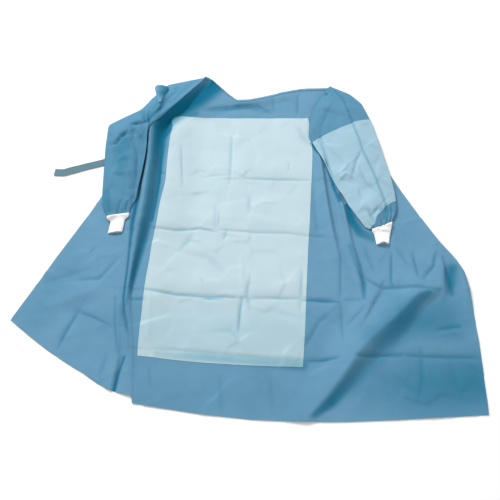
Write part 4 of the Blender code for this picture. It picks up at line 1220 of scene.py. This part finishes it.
# A cuff starts inside its sleeve's end, so it isn't laid on what is higher
SLEEVE_END_HEIGHT = 0.012
SEAT_IN_SLEEVE = 0.002

white_knit = nonwoven("white_rib_knit", WHITE, WHITE_DARK, WHITE_DARK,
                      roughness=0.85, sheen=0.30, bump=0.60)

CUFFS = (
    # side, sections, how much of the opening and of the cut back its end has
    ("right", CUFF_RIGHT_SECTIONS, 0.3, 0.0),
    ("left", CUFF_LEFT_SECTIONS, 1.0, 1.0),
)

for side_name, table, open_share, cut_share in CUFFS:
    columns = RIBS * POINTS_PER_RIB + 1
    bare = Pile()
    bare.height = np.where(pile.height > SLEEVE_END_HEIGHT, SEAT_IN_SLEEVE, pile.height)
    x, y, low, high = tube_layers(table, CUFF_ROWS, columns, bare, KNIT, creases=(),
                                  gather=0.0, puff=CUFF_PUFF)
    across = np.linspace(0.0, 1.0, columns)[None, :]
    ribs = RIB_HEIGHT * np.cos(2 * math.pi * RIBS * across)
    near_end = np.linspace(0.0, 1.0, len(x))[:, None] ** 5
    high = high + open_share * CUFF_OPENING * near_end * np.sin(math.pi * across) ** 2
    y = y + cut_share * CUFF_CUT_BACK * near_end * np.sin(math.pi * across) ** 4
    cuff, cut_area = tube_of("knit_cuff_" + side_name, x, y, low - ribs * 0.5,
                             high + ribs, white_knit, KNIT, smooth_angle=KNIT_SMOOTH)
    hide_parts("cuff_" + side_name)
    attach(cuff, "root")


# The neck tab: a short strap of folded blue cloth at the right shoulder that
# closes the neck. It stands up from the sleeve and curls over at its end.
TAB_WIDTH = 0.050
TAB_ROUTE = (
    # x, y, height above the sleeve
    (-0.319, 0.522, 0.0000),
    (-0.320, 0.545, 0.0020),
    (-0.320, 0.565, 0.0060),
    (-0.319, 0.585, 0.0120),
    (-0.319, 0.602, 0.0165),
    (-0.319, 0.616, 0.0175),
    (-0.319, 0.626, 0.0140),
    (-0.319, 0.632, 0.0060),
)
TAB_STEPS = 44
TAB_COLUMNS = 25
TAB_DOME = 0.0060
TAB_DOME_POWER = 1.7
TAB_DOME_RISE = 1.6
# Painted shade on the tab: darker towards one side of its ridge, growing from its foot to its
# middle
TAB_TINT = 0.35
TAB_TINT_SLOPE = 0.5
TAB_TINT_RANGE = (0.2, 0.95)
TAB_TINT_RISE = 2.0
TAB_FOOT = 0.16
TAB_RIDGE = -0.35
TAB_WIDEST_FROM = 0.70
TAB_CORNER_FROM = 0.72
TAB_CORNER = 0.55

route = np.array(TAB_ROUTE)
seat = pile.over(route[:, 0], route[:, 1]) + STRAP
tab_grid = list(strap_points(route[:, :2], TAB_WIDTH, TAB_STEPS, TAB_COLUMNS,
                             seat + route[:, 2]))
across_tab = np.linspace(-1.0, 1.0, TAB_COLUMNS)[None, :]
up_the_tab = np.linspace(0.0, 1.0, TAB_STEPS)[:, None]
middle = tab_grid[0].mean(axis=1, keepdims=True)
near_end = np.clip((up_the_tab - TAB_CORNER_FROM) / (1.0 - TAB_CORNER_FROM), 0.0, 1.0)
corner = np.sqrt(1.0 - near_end ** 2 * TAB_CORNER)
widening = np.clip(up_the_tab / TAB_WIDEST_FROM, 0.0, 1.0)
widths = (TAB_FOOT + (1.0 - TAB_FOOT) * widening) * corner
tab_grid[0] = middle + (tab_grid[0] - middle) * widths
from_ridge = across_tab - TAB_RIDGE
dome = np.abs(from_ridge) ** TAB_DOME_POWER * ease(up_the_tab * TAB_DOME_RISE)
tab_grid[2] = tab_grid[2] - TAB_DOME * dome
tab_shade = np.clip(TAB_TINT + TAB_TINT_SLOPE * from_ridge, *TAB_TINT_RANGE)
tab_shade = tab_shade * ease(up_the_tab * TAB_TINT_RISE)
tab = sheet_of("neck_tab", *tab_grid, blue_cloth, STRAP, tab_shade)
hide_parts("neck_tab")
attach(tab, "root")


# The table under the gown: plain, pale and matt.
TABLE_SIZE = 14.0
TABLE_PAINT = (0.93, 0.93, 0.93, 1.0)
TABLE_ROUGHNESS = 0.9

bpy.ops.object.select_all(action="DESELECT")
bpy.ops.mesh.primitive_plane_add(size=TABLE_SIZE, location=(0.0, 0.0, 0.0))
table_top = bpy.context.object
table_top.name = "table_top"
table_paint = bpy.data.materials.new("pale_matt_paint")
table_paint.use_nodes = True
paint_shader = table_paint.node_tree.nodes["Principled BSDF"]
paint_shader.inputs["Base Color"].default_value = TABLE_PAINT
paint_shader.inputs["Roughness"].default_value = TABLE_ROUGHNESS
table_top.data.materials.append(table_paint)


# The light: a wide soft lamp high on the upper left, a weaker one from the
# right, and an even pale surround.
KEY_PLACE = Vector((-2.9, 5.2, 4.2))
KEY_SIZE = 2.4
KEY_WATTS = 500.0
FILL_PLACE = Vector((2.6, -1.6, 3.0))
FILL_SIZE = 3.0
FILL_WATTS = 20.0
SURROUND = 0.60

for lamp_name, place, size, watts in (("key", KEY_PLACE, KEY_SIZE, KEY_WATTS),
                                      ("fill", FILL_PLACE, FILL_SIZE, FILL_WATTS)):
    lamp_data = bpy.data.lights.new(lamp_name, "AREA")
    lamp_data.energy = watts
    lamp_data.size = size
    lamp = bpy.data.objects.new(lamp_name, lamp_data)
    lamp.location = place
    lamp.rotation_euler = (-place).to_track_quat("-Z", "Y").to_euler()
    bpy.context.scene.collection.objects.link(lamp)

world = bpy.data.worlds.new("surround")
world.use_nodes = True
world.node_tree.nodes["Background"].inputs["Color"].default_value = (1.0, 1.0, 1.0, 1.0)
world.node_tree.nodes["Background"].inputs["Strength"].default_value = SURROUND
bpy.context.scene.world = world
bpy.context.scene.view_settings.view_transform = "Standard"
